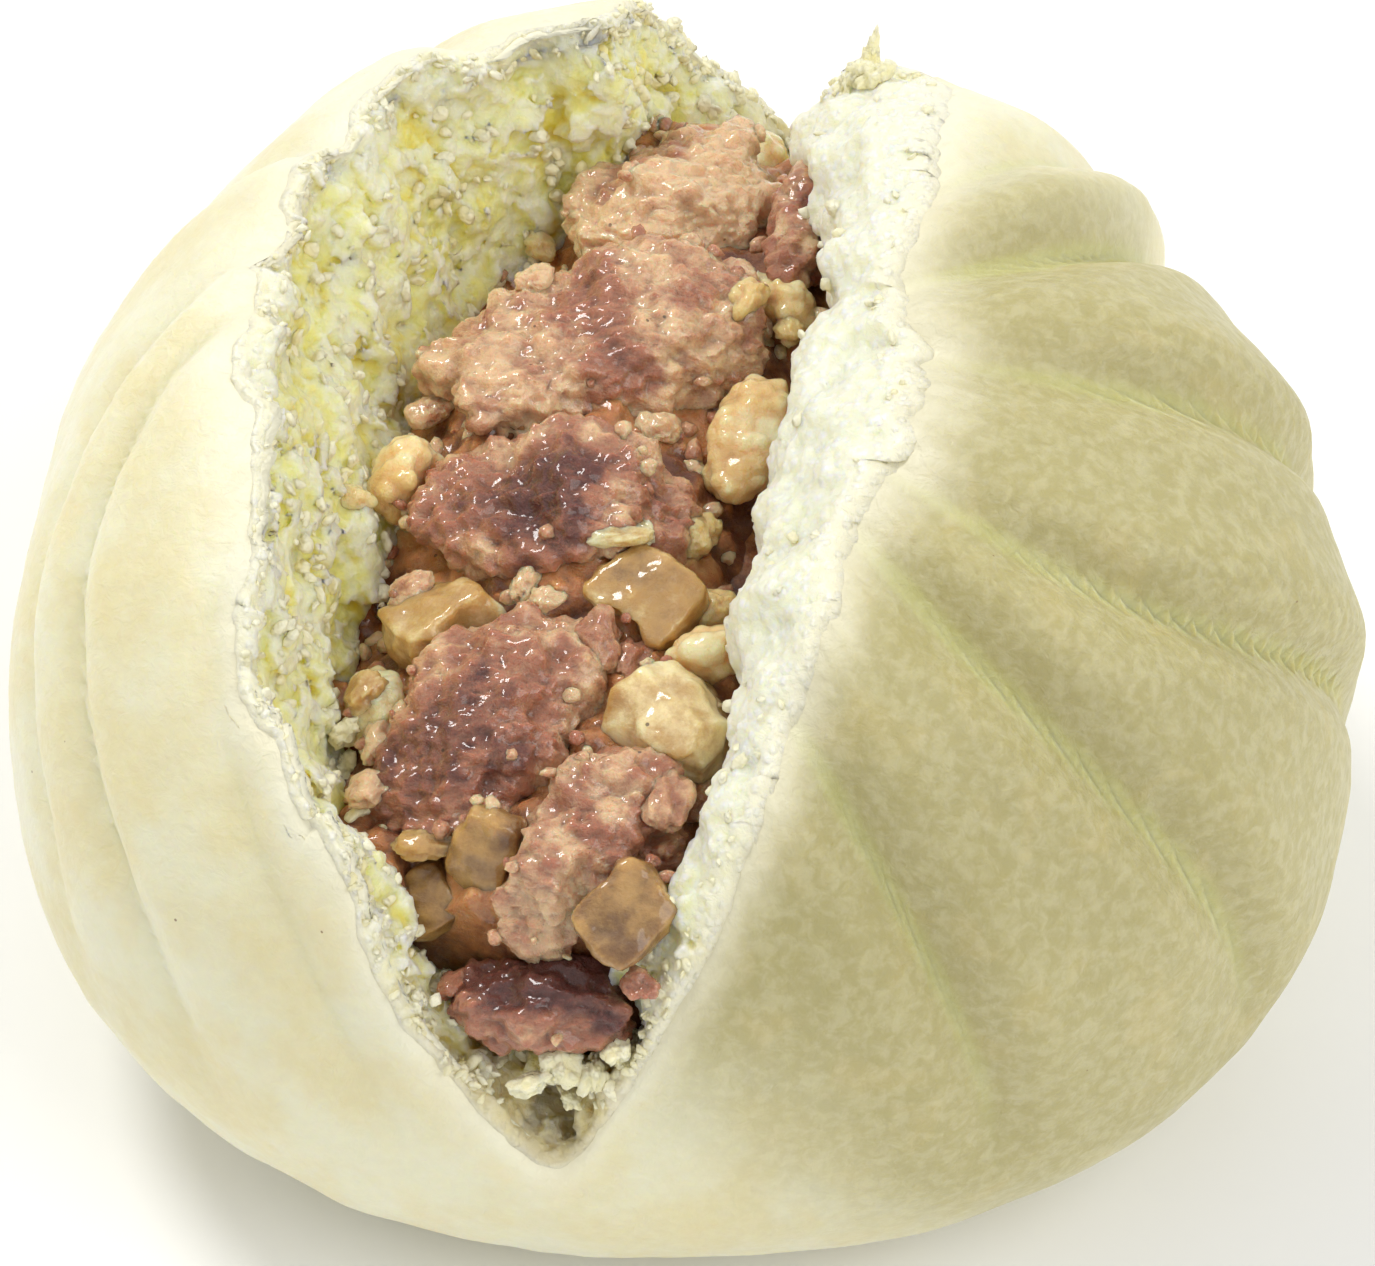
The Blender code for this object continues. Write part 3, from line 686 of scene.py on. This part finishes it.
def crumb_paint():
    """Torn crumb: white flakes with painted highlight on their edges, over recesses painted a
    deeper yellow as their shade, and like the skin where it ends.
    """
    p = Paint("dough_crumb")
    cloud = p.maths("SUBTRACT", p.noise(2.2, 3.0, 0.6), 0.5)
    grain = p.span(p.cells(0.85, p.stretched((1.0, 1.0, 1.0), (0.5, 0.2, 0.9))), 0.10, 0.62)
    # Painted shade: the lower the crumb lies, the deeper and darker its yellow, standing for the
    # shade and glow in its recesses
    deep = p.maths("ADD", p.mark("depth"), p.times(cloud, 1.7))
    deep = p.maths("SUBTRACT", deep, p.times(grain, 0.55))
    high = p.span(deep, -1.2, 0.9)
    yellow = p.span(p.noise(7.0, 2.0, 0.5, 0.5), 0.38, 0.62)
    recess_shade = p.mix(yellow, tint(254, 240, 132), tint(252, 224, 76))
    colour = p.mix(high, recess_shade, tint(255, 246, 176))
    # Painted highlight: whiter along the top edges of the flakes
    colour = p.mix(p.times(p.mark("rim"), 0.65), colour, tint(255, 251, 222))
    # Whiter within 6 mm of the tear's edge, and whiter over the right lip, where the whiteness is
    # partly painted light on the face that turns up to the key light
    near = p.times(p.span(p.mark("inward"), 6.0, 0.0), 0.7)
    pale = p.maths("MAXIMUM", near, p.times(p.mark("right"), 0.9))
    colour = p.mix(pale, colour, p.mix(grain, tint(255, 253, 240), tint(253, 248, 222)))
    colour = p.mix(p.times(p.mark("end"), 0.55), colour, tint(200, 172, 92))
    skin = skin_colour(p, p.times(p.mark("inward"), -1.0))
    colour = p.mix(p.span(p.mark("inward"), -2.2, 1.0), skin, colour)
    loose = p.mark("loose")
    # Loose grains get the same painted shade: yellower where lower, whiter where raised
    colour = p.mix(loose, colour, p.mix(high, tint(250, 238, 168), tint(255, 251, 216)))
    normal = p.bump(p.noise(0.8, 4.0, 0.72, 0.6), 0.40, 0.8)
    normal = p.bump(p.times(grain, -1.0), 0.20, 0.8, normal)
    share = p.span(p.mark("inward"), -0.5, 3.0, 0.3)
    share = p.times(share, p.maths("SUBTRACT", 1.0, loose))
    return p.wear(
        colour, 0.5, normal, Subsurface_Weight=share,
        Subsurface_Scale=2.4 * MM, Subsurface_Radius=(1.0, 0.88, 0.46),
        Coat_Weight=0.25, Coat_Roughness=0.20, Specular_IOR_Level=0.5,
    )


# The filling's colours, from its low places to its raised ones
PORK = ((104, 56, 46), (180, 122, 94), (240, 204, 160))
MINCE = ((112, 62, 34), (204, 140, 88), (244, 204, 144))
ONION = ((120, 84, 42), (190, 150, 88), (246, 228, 176))
FAT = ((206, 156, 92), (238, 202, 138), (252, 232, 184))


def wet_paint(name, colours, scatter, radius, size=0.8, depth=0.36, coat=0.85):
    """Moist filling: its three colours, cloudy, with fibres of this size and depth in its bump."""
    p = Paint(name)
    low, middle, high = (tint(*colour) for colour in colours)
    cloud = p.maths("SUBTRACT", p.noise(1.6, 4.0, 0.65), 0.5)
    tone = p.maths("ADD", p.mark("tone"), p.times(cloud, 0.75))
    colour = p.mix(p.span(tone, 0.0, 0.50), low, middle)
    colour = p.mix(p.span(tone, 0.50, 0.95), colour, high)
    dirt = p.span(p.cells(2.6), 0.075, 0.045)
    rare = p.span(p.noise(6.0, 1.0), 0.52, 0.60)
    colour = p.mix(p.times(p.times(dirt, rare), 0.75), colour, tint(70, 45, 30))
    fibre = p.noise(size * 0.8, 3.0, 0.6, 1.0, p.stretched((0.5, 1.0, 0.8), (0.2, 0.4, 0.9)))
    normal = p.bump(fibre, depth, 0.8)
    normal = p.bump(p.noise(size * 0.9, 3.0, 0.65, 1.2), depth * 0.9, 0.9, normal)
    normal = p.bump(p.noise(size * 0.32, 3.0, 0.7), depth * 0.8, 1.0, normal)
    roughness = p.span(p.noise(1.1, 2.0), 0.3, 0.7, 0.32, 0.60)
    return p.wear(
        colour, roughness, normal, Subsurface_Weight=1.0,
        Subsurface_Scale=scatter * MM, Subsurface_Radius=radius,
        Coat_Weight=coat, Coat_Roughness=0.08, Specular_IOR_Level=0.5,
    )


def shape_of(node, voxel, soft=True):
    """The solid's own shape, evened out and finely meshed: points, normals and quads."""
    mesh = bmesh.new()
    mesh.from_mesh(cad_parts[node].data)
    bmesh.ops.remove_doubles(mesh, verts=mesh.verts, dist=1e-6)
    data = bpy.data.meshes.new("base")
    mesh.to_mesh(data)
    mesh.free()
    base = placed("base", data)
    divide = base.modifiers.new("divide", "SUBSURF")
    divide.subdivision_type = "CATMULL_CLARK" if soft else "SIMPLE"
    divide.levels = divide.render_levels = 2
    even = base.modifiers.new("even", "REMESH")
    even.mode = "VOXEL"
    even.voxel_size = voxel * MM
    done = base.evaluated_get(bpy.context.evaluated_depsgraph_get()).to_mesh()
    points = np.zeros(len(done.vertices) * 3)
    normals = points.copy()
    done.vertices.foreach_get("co", points)
    done.vertices.foreach_get("normal", normals)
    quads = np.zeros(len(done.loops), int)
    done.loops.foreach_get("vertex_index", quads)
    bpy.data.objects.remove(base)
    return points.reshape(-1, 3) / MM + CENTRE, normals.reshape(-1, 3), quads.reshape(-1, 4)


def along_own_axes(points):
    """The points in the piece's own frame, each of whose axes runs from -1 to 1."""
    middle = points.mean(0)
    _, axes = np.linalg.eigh(np.cov((points - middle).T))
    axes = axes[:, ::-1] * np.sign(axes[np.abs(axes).argmax(axis=0), range(3)])[::-1]
    own = (points - middle) @ axes
    return own / np.abs(own).max(0)


# Pork chunks, from the first: how lean each is (1 is all lean), where its lean patch lies along
# its own long and short axes, the patch's reach along each, and how pale the chunk is
LEAN = (
    (0.50, 0.2, -0.4, 0.8, 0.35, 0.20),
    (0.66, 0.05, -0.1, 0.24, 0.95, 0.0),
    (0.90, -0.1, -0.25, 0.72, 0.60, -0.10),
    (0.85, -0.30, -0.1, 0.75, 0.70, -0.08),
    (0.45, 0.3, 0.1, 0.5, 0.6, -0.06),
    # The sixth chunk's full lean share and low paleness: partly its own darker meat, partly
    # painted shade where it lies under the fifth
    (1.10, 0.0, 0.1, 1.2, 0.9, -0.22),
    (0.90, 0.0, 0.0, 0.8, 0.8, -0.05),
)
# Onion dice, from the first: how pale each is, and how clearly its layers show
ONION_LOOK = (
    (0.46, 0.3), (0.72, 0.2), (0.30, 0.4), (0.25, 0.3), (0.12, 0.3), (0.60, 0.4),
)
# How square a box is, as a power: the solids' rounded one, and the one that is wanted
ROUNDED = 5.0
SQUARED = 16.0
# Small bits, by their place in the photograph: across, down, length, width, height, turn, and
# the tone of all but the dough
FAT_BITS = (
    (697, 536, 4.4, 3.4, 3.0, 70, 0.55), (713, 606, 4.0, 3.2, 2.8, 20, 0.50),
    (540, 246, 3.6, 2.2, 2.0, 150, 0.60), (352, 500, 3.0, 2.2, 2.0, 10, 0.55),
    (748, 300, 3.4, 2.4, 2.4, 80, 0.35), (790, 330, 3.0, 2.4, 2.0, 100, 0.40),
)
ONION_BITS = (
    (622, 537, 4.6, 1.6, 1.4, 20, 0.70), (366, 690, 3.8, 2.6, 2.0, 60, 0.55),
    (645, 530, 2.6, 1.4, 1.2, 120, 0.80), (425, 845, 5.0, 2.6, 1.8, 10, 0.40),
)
PORK_BITS = (
    (527, 582, 4.0, 2.2, 2.2, 80, 1.00), (545, 600, 3.0, 2.2, 2.0, 30, 0.95),
    (600, 640, 5.0, 3.4, 2.6, 120, 0.60), (630, 660, 4.2, 3.0, 2.4, 70, 0.55),
    (668, 802, 5.2, 3.6, 2.8, 100, 0.65), (665, 850, 4.6, 3.4, 2.6, 80, 0.60),
    (700, 800, 3.6, 2.8, 2.2, 60, 0.70), (380, 740, 4.4, 2.6, 2.2, 80, 0.90),
    (372, 790, 4.0, 2.8, 2.2, 60, 0.85), (410, 590, 3.6, 2.6, 2.2, 40, 0.75),
    (430, 410, 3.6, 2.6, 2.2, 40, 0.80), (660, 430, 3.6, 2.8, 2.2, 10, 0.95),
    (535, 280, 3.8, 2.4, 2.2, 60, 0.95), (455, 985, 3.4, 2.6, 2.0, 60, 0.50),
    (640, 985, 3.6, 2.6, 2.0, 120, 0.55),
)
DOUGH_BITS = (
    (562, 1070, 3.6, 2.6, 1.6, 30), (592, 1076, 2.8, 2.0, 1.4, 70), (533, 1084, 2.6, 1.9, 1.2, 10),
    (618, 1050, 3.0, 1.8, 1.2, 110), (570, 1100, 2.4, 1.8, 1.2, 90), (868, 68, 1.6, 1.3, 6.0, 0),
    (878, 76, 2.6, 2.0, 3.2, 40), (846, 88, 2.4, 1.8, 3.0, 80), (858, 78, 2.2, 1.8, 2.6, 10),
    (350, 730, 3.0, 2.0, 1.6, 70), (346, 770, 3.0, 2.0, 1.6, 110), (358, 805, 2.8, 1.8, 1.5, 30),
)


def make_pork(node, look, seed):
    """A chunk of pork: lean and fibrous in the middle, pale and nodular towards its rim."""
    points, normals, quads = shape_of(node, 0.32)
    own = along_own_axes(points)
    share, x, y, long, short, pale = LEAN[int(node[-1]) - 1]
    reach = np.hypot((own[:, 0] - x) / long, (own[:, 1] - y) / short)
    reach += 0.40 * lumps(points, 4.5, seed) + 0.25 * lumps(points, 1.8, seed + 1)
    lean = share * (1.0 - ramp(reach, 0.55, 1.30)) * ramp(own[:, 2], -0.9, -0.3)
    bent = bend(points, 0.6, 1.7, seed)
    nodule = grains(bent, 2.1, seed + 5)
    bead = grains(bent, 1.0, seed + 6)
    rim = 1.0 - 0.8 * np.clip(lean, 0.0, 1.0)
    relief = 0.70 * rough(points, 4.5, seed + 7, 3, 0.6) - 0.35 * lean + 0.1
    relief += rim * (0.62 * (0.55 - nodule) + 0.50 * (0.5 - bead))
    relief += 0.40 * rough(points * np.array((0.55, 1.0, 0.8)), 1.3, seed + 9, 3, 0.75)
    points = points + normals * relief[:, None]
    tone = 0.78 + pale - 0.60 * lean + 0.20 * (0.5 - nodule)
    tone += 0.14 * rough(points, 3.2, seed + 11, 3, 0.7)
    return piece(node + "_meat", points, [quads], look, "pork", (node,), tone=tone)


def cut_square(points):
    """The points moved out to a box with barely rounded edges, and their places in that box."""
    middle = points.mean(0)
    _, axes = np.linalg.eigh(np.cov((points - middle).T))
    own = (points - middle) @ axes[:, ::-1]
    turns = np.radians(np.arange(0.0, 90.0, 3.0))
    waves = zip(np.cos(turns), np.sin(turns))
    spins = [np.array(((cosine, -sine), (sine, cosine))) for cosine, sine in waves]
    axes = axes[:, ::-1].copy()
    least = min(spins, key=lambda spin: np.ptp(own[:, :2] @ spin, axis=0).prod())
    axes[:, :2] = axes[:, :2] @ least
    own = (points - middle) @ axes
    half = np.ptp(own, axis=0) / 2.0
    own -= (own.max(0) + own.min(0)) / 2.0
    share = own / half
    round_size = (np.abs(share) ** ROUNDED).sum(axis=1) ** (1.0 / ROUNDED)
    box_size = (np.abs(share) ** SQUARED).sum(axis=1) ** (1.0 / SQUARED)
    grown = np.clip(round_size / box_size, 1.0, 1.15)
    return points + (own * (grown - 1.0)[:, None]) @ axes.T, share * grown[:, None]


def make_onion(node, look, seed):
    """A cut die of onion: flat faces with fine layers, paler along its edges."""
    points, normals, quads = shape_of(node, 0.28, False)
    pale, layered = ONION_LOOK[int(node[-1]) - 1]
    points, share = cut_square(points)
    edge = np.sort(np.abs(share), axis=1)[:, 1]
    layers = np.sin(share[:, 0] * 9.0 + 1.5 * lumps(points, 3.0, seed + 2) + seed)
    relief = 0.25 * lumps(points, 2.4, seed) + 0.10 * rough(points, 1.2, seed + 3, 2)
    relief += 0.07 * layered * layers
    tone = pale + 0.28 * ramp(edge, 0.80, 0.98) + 0.10 * layered * layers
    tone += 0.24 * lumps(points, 3.4, seed + 5) + 0.12 * lumps(points, 1.5, seed + 6)
    points = points + normals * relief[:, None]
    return piece(node + "_bit", points, [quads], look, "onion", (node,), tone=tone)


def make_fat(node, look, seed):
    """A soft lump of fat, finely nodular and paler at one side."""
    points, normals, quads = shape_of(node, 0.30)
    nodule = grains(points, 1.5, seed)
    relief = 0.75 * (0.55 - nodule) + 0.12 * rough(points, 1.6, seed + 3, 3)
    own = along_own_axes(points)
    tone = 0.55 + 0.25 * own[:, 1] + 0.25 * lumps(points, 3.0, seed + 5) + 0.4 * (0.5 - nodule)
    points = points + normals * relief[:, None]
    return piece(node + "_bit", points, [quads], look, "fat", (node,), tone=tone)


def make_mince(look):
    """The solid minced mass, a little sunk, which the bed lies on."""
    points, normals, quads = shape_of("filling", 1.0)
    relief = 0.3 * rough(points, 2.6, 203, 2) - 0.4
    tone = np.full(len(points), 0.2)
    points = points + normals * relief[:, None]
    return piece("mince_body", points, [quads], look, "mince", ("filling",), tone=tone)


def cells_under(points):
    """The cell of the grid that each point is over, and whether it is on the grid at all."""
    at = np.floor((points[:, :2] - GRID_LOW) / GRID).astype(int)
    return at, ((at >= 0) & (at < GRID_SHAPE)).all(axis=1)


def heights(clouds):
    """The highest point over each cell of the grid, from clouds of points."""
    top = np.full(GRID_SHAPE, -99.0)
    for cloud in clouds:
        at, inside = cells_under(cloud)
        np.maximum.at(top, tuple(at[inside].T), cloud[inside, 2])
    return top


def spread_out(values, known, reach):
    """The values blurred over this many cells, counting only the known ones."""
    shares = known.astype(float)
    values = np.where(known, values, 0.0)
    width = 2 * reach + 1
    for axis in (0, 1) * 3:
        for part in (values, shares):
            pad = [(0, 0), (0, 0)]
            pad[axis] = (reach + 1, reach)
            walked = np.cumsum(np.pad(part, pad), axis=axis)
            size = part.shape[axis]
            part[:] = np.take(walked, range(width, width + size), axis=axis)
            part -= np.take(walked, range(size), axis=axis)
            part /= width
    return values / np.maximum(shares, 1e-6)


def make_bed(look, body, pieces):
    """The mince that the pieces lie in, heaped up between them; gives its points."""
    base = heights([body])
    base = spread_out(base, base > 0.0, 2)
    top = heights([body] + pieces)
    top = spread_out(top, top > 0.0, round(BED_EVEN / GRID))
    flat = [low + GRID * (np.arange(size) + 0.5) for low, size in zip(GRID_LOW, GRID_SHAPE)]
    levels = np.arange(BED_LOW, BED_HIGH, GRID)
    place = np.stack(np.meshgrid(*flat, levels, indexing="ij"), axis=-1)
    bed = np.maximum(top - BED_UNDER, base + BED_COVER)
    over = (place[:, :, 0, :2] - HOLLOW_CENTRE[:2]) / HOLLOW_SIZE[:2]
    off = (np.abs(over) ** HOLLOW_SQUARE).sum(axis=-1) ** (1.0 / HOLLOW_SQUARE)
    around, _, contact = contact_line(skin_points(*tear_edge(RIM_COLUMNS)))
    turn = np.arctan2(over[..., 1], over[..., 0])
    wall = np.interp(turn, *zip(*sorted(zip(around, contact[:, 2]))), period=2.0 * np.pi)
    bed += (np.maximum(bed, wall + BED_RISE) - bed) * ramp(off, 0.66, 0.90)
    covered = heights(pieces)
    inner = covered > 0.0
    for shift, axis in ((-2, 0), (-2, 1), (2, 0), (2, 1)):
        inner = inner & np.roll(covered > 0.0, shift, axis)
    bed = np.where(inner, np.minimum(bed, covered - BED_BELOW), bed)
    bed = spread_out(bed, bed > 0.0, 1)
    field = levels - bed[..., None]
    near = np.abs(field) < BED_RELIEF
    spots = place[near]
    bent = bend(spots, 0.5, 1.6, 206)
    nodule = grains(bent, 2.3, 201)
    bead = grains(bent, 1.1, 202)
    field[near] -= 1.5 * (0.6 - nodule) + 0.7 * (0.5 - bead) + 0.8 * lumps(spots, 5.0, 205)
    field = np.maximum(field, base[..., None] - 1.5 - levels)
    field = np.maximum(field, (off[..., None] - 0.99) * HOLLOW_SIZE[0])
    tone = np.zeros_like(field)
    tone[near] = 0.30 + 0.45 * (0.55 - nodule) + 0.30 * (0.5 - bead)
    tone[near] += 0.35 * lumps(spots, 4.0, 208)
    points, faces = net(field, np.concatenate((place, tone[..., None]), axis=-1))
    bed, tone = points[:, :3], points[:, 3]
    return piece("mince_top", bed, [faces], look, "mince", ("filling",), BED_KEEP, tone=tone)


def point_of_view():
    """Where the photograph is taken from, and its directions: right, up and back."""
    azimuth, elevation = math.radians(VIEW_AZIMUTH), math.radians(VIEW_ELEVATION)
    flat = math.cos(elevation)
    back = np.array((math.sin(azimuth) * flat, -math.cos(azimuth) * flat, math.sin(elevation)))
    right = np.array((math.cos(azimuth), math.sin(azimuth), 0.0))
    up = np.cross(back, right)
    aim = np.array((0.0, 0.0, VIEW_HEIGHT)) + right * VIEW_ASIDE[0] + up * VIEW_ASIDE[1]
    return aim + back * VIEW_DISTANCE, right, up, back


def seen_at(across, down, ground):
    """Where the line of sight through a place in the photograph meets the height map."""
    place, right, up, back = point_of_view()
    way = right * (across - PHOTO_SIZE[0] / 2.0) + up * (PHOTO_SIZE[1] / 2.0 - down)
    way = way / VIEW_SCALE - back * VIEW_DISTANCE
    level = np.arange(70.0, 20.0, -0.1)
    line = place + way * ((level - place[2]) / way[2])[:, None]
    at, inside = cells_under(line)
    at = np.clip(at, 0, np.array(GRID_SHAPE) - 1)
    return line[(inside & (level <= ground[tuple(at.T)])).argmax()]


def make_bits(name, look, slot, spots, seed, fineness, tumble=0.35, ragged=1.0, **marks):
    """Many small bits as one mesh. A spot is a middle, a size, a turn and a tone.

    Fineness divides each bit's faces, tumble is how far it may tip and ragged how uneven it is.
    """
    ball = bmesh.new()
    bmesh.ops.create_icosphere(ball, subdivisions=fineness, radius=1.0)
    round_bit = np.array([spot.co for spot in ball.verts])
    corners = np.array([[spot.index for spot in face.verts] for face in ball.faces])
    ball.free()
    draw = np.random.default_rng(seed)
    points, faces, tones = [], [], []
    for middle, size, turn, tone in spots:
        where = round_bit * 1.2 + draw.uniform(-90.0, 90.0, 3)
        uneven = 0.30 * lumps(where, 1.0, seed) + 0.16 * lumps(where, 0.45, seed + 1)
        uneven += 0.09 * lumps(where, 0.2, seed + 2)
        own = round_bit * (1.0 + ragged * uneven)[:, None] * (np.array(size) / 2.0)
        tilt = draw.uniform(-tumble, tumble, 2)
        spin = Matrix.Rotation(math.radians(turn), 3, "Z") @ Matrix.Rotation(tilt[0], 3, "X")
        spin = np.array(spin @ Matrix.Rotation(tilt[1], 3, "Y"))
        points.append(middle + own @ spin.T)
        faces.append(corners + len(round_bit) * len(faces))
        tones.append(tone + 0.35 * uneven)
    for mark, value in marks.items():
        marks[mark] = np.repeat(np.broadcast_to(value, len(spots)), len(round_bit))
    points, faces, tone = (np.concatenate(part) for part in (points, faces, tones))
    piece(name, points, [faces], look, slot, tone=tone, **marks)


def sprinkle(ground, covered, count, seed):
    """Crumbs of meat in the gaps between the pieces, and up their sides."""
    draw = np.random.default_rng(seed)
    steep = np.hypot(*np.gradient(ground))
    cells = np.argwhere((ground > BITS_ABOVE) & ((covered < 0.0) | (steep > 0.8)))
    spots = []
    for cell in cells[draw.choice(len(cells), count, replace=False)]:
        flat = GRID_LOW + GRID * (cell + draw.uniform(0.0, 1.0, 2))
        length = draw.uniform(0.7, 2.0)
        size = length * np.array((1.0, draw.uniform(0.6, 1.0), draw.uniform(0.5, 0.9)))
        middle = np.array((flat[0], flat[1], ground[tuple(cell)] + 0.05 * size[2]))
        spots.append((middle, size, draw.uniform(0.0, 180.0), draw.uniform(0.42, 1.0)))
    return spots


def laid_out(table, ground):
    """Spots for the bits of a table."""
    return [(seen_at(*row[:2], ground), row[2:5], row[5], sum(row[6:])) for row in table]


def strew(name, look, crumbs, least, most, count, size, draw):
    """Loose grains of dough up to this size, this far inside the tear's edge on the crumb."""
    z, inward, depth = crumbs[:, 2:5].T
    near = crumbs[(inward > least) & (inward < most) & (depth > -1.6) & (z > BITS_ABOVE)]
    near = near[draw.uniform(size=len(near)) > 0.7 * near[:, 5]]
    near = near[draw.choice(len(near), count, replace=False)]
    inward, depth, right, _, end = near[:, 3:].T
    sizes = draw.uniform(0.4, 1.0, count)[:, None] * size
    sizes = sizes * draw.uniform((0.8, 0.5, 0.3), (1.0, 0.9, 0.6), (count, 3))
    spots = [(spot[:3], one, draw.uniform(0.0, 180.0), 0.0) for spot, one in zip(near, sizes)]
    make_bits(
        name, look, "dough", spots, 72, 2, 3.1, 1.3, inward=np.maximum(inward, 1.0),
        depth=depth + 0.6, right=right, rim=0.55, end=end, pleated=0.0, loose=0.8,
    )


def make_camera():
    """The camera at the photograph's angle."""
    place, right, up, back = (Vector(part) for part in point_of_view())
    place -= Vector(CENTRE)
    data = bpy.data.cameras.new("camera")
    data.sensor_width = 36.0
    data.lens = 36.0 * VIEW_SCALE * VIEW_DISTANCE / PHOTO_SIZE[0]
    data.clip_start = 0.05
    data.clip_end = 20.0
    camera = placed("camera", data)
    turn = Matrix((right, up, back)).transposed().to_4x4()
    camera.matrix_world = Matrix.Translation(place * MM) @ turn
    bpy.context.scene.camera = camera


def make_light(name, way, distance, size, power, colour=(1.0, 1.0, 1.0)):
    """A round soft light that shines on the bun from this way."""
    data = bpy.data.lights.new(name, "AREA")
    data.shape = "DISK"
    data.size = size
    data.energy = power
    data.color = colour
    way = Vector(way).normalized()
    turn = way.to_track_quat("Z", "Y").to_matrix().to_4x4()
    placed(name, data).matrix_world = Matrix.Translation(way * distance) @ turn


def make_stage():
    """A pale floor, soft light and a pale surround."""
    mesh = bmesh.new()
    bmesh.ops.create_grid(mesh, x_segments=1, y_segments=1, size=3.0)
    data = bpy.data.meshes.new("floor")
    mesh.to_mesh(data)
    mesh.free()
    p = Paint("floor")
    cloud = p.span(p.noise(60.0, 3.0), 0.3, 0.7)
    shade = p.mix(cloud, (0.93, 0.93, 0.92, 1.0), (0.95, 0.95, 0.945, 1.0))
    data.materials.append(p.wear(shade, 0.7, p.bump(p.noise(1.5, 2.0), 0.02)))
    floor = placed("floor", data)
    floor.location = (0.0, 0.0, FLOOR_HEIGHT * MM)
    world = bpy.data.worlds.new("surround")
    world.use_nodes = True
    background = world.node_tree.nodes["Background"].inputs
    background["Color"].default_value = (1.0, 1.0, 1.0, 1.0)
    background["Strength"].default_value = 0.68
    bpy.context.scene.world = world
    make_light("key", (-0.60, 0.35, 1.0), 1.3, 0.40, 7.1, (1.0, 0.99, 0.97))
    make_light("top", (0.80, -0.20, 0.90), 1.5, 1.2, 7.8)
    bpy.context.scene.view_settings.view_transform = "Standard"


crumb_look = crumb_paint()
make_skin(skin_paint())
torn = [
    make_crumb(crumb_look, "crumb_right", -0.01, 0.474, 980, 0.46),
    make_crumb(crumb_look, "crumb_left", 0.464, 1.01, 1120, 0.42),
]
pork_look = wet_paint("pork", PORK, 1.1, (1.0, 0.42, 0.28))
mince_look = wet_paint("mince", MINCE, 1.0, (1.0, 0.45, 0.25))
onion_look = wet_paint("onion", ONION, 2.6, (1.0, 0.80, 0.45), 1.0, 0.14, 1.0)
fat_look = wet_paint("fat", FAT, 2.0, (1.0, 0.65, 0.35), 0.9, 0.22, 0.8)
body = make_mince(mince_look)
laid = []
for number, node in enumerate(sorted(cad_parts)):
    seed = 300 + 20 * number
    if node.startswith("pork"):
        laid.append(make_pork(node, pork_look, seed))
    if node.startswith("onion"):
        laid.append(make_onion(node, onion_look, seed))
    if node.startswith("fat"):
        laid.append(make_fat(node, fat_look, seed))
heap = make_bed(mince_look, body, laid)
ground = heights([heap] + laid)
make_bits("mince_crumbs", pork_look, "mince", sprinkle(ground, heights(laid), 420, 61), 401, 2)
ground = np.maximum(ground, heights([part[:, :3] for part in torn]))
make_bits("fat_crumbs", fat_look, "fat", laid_out(FAT_BITS, ground), 402, 4)
make_bits("onion_shreds", onion_look, "onion", laid_out(ONION_BITS, ground), 403, 4)
make_bits("pork_crumbs", pork_look, "pork", laid_out(PORK_BITS, ground), 404, 4)
make_bits(
    "dough_shreds", crumb_look, "dough", laid_out(DOUGH_BITS, ground), 405, 4, 0.8, 2.0,
    inward=6.0, depth=0.6, right=0.3, rim=0.7, end=0.1, pleated=0.0, loose=0.8,
)
crumbs = np.concatenate(torn)
draw = np.random.default_rng(71)
strew("dough_fringe", crumb_look, crumbs, 0.0, 2.6, 560, 1.3, draw)
strew("dough_grains", crumb_look, crumbs, 2.0, 30.0, 650, 1.9, draw)
make_stage()
make_camera()
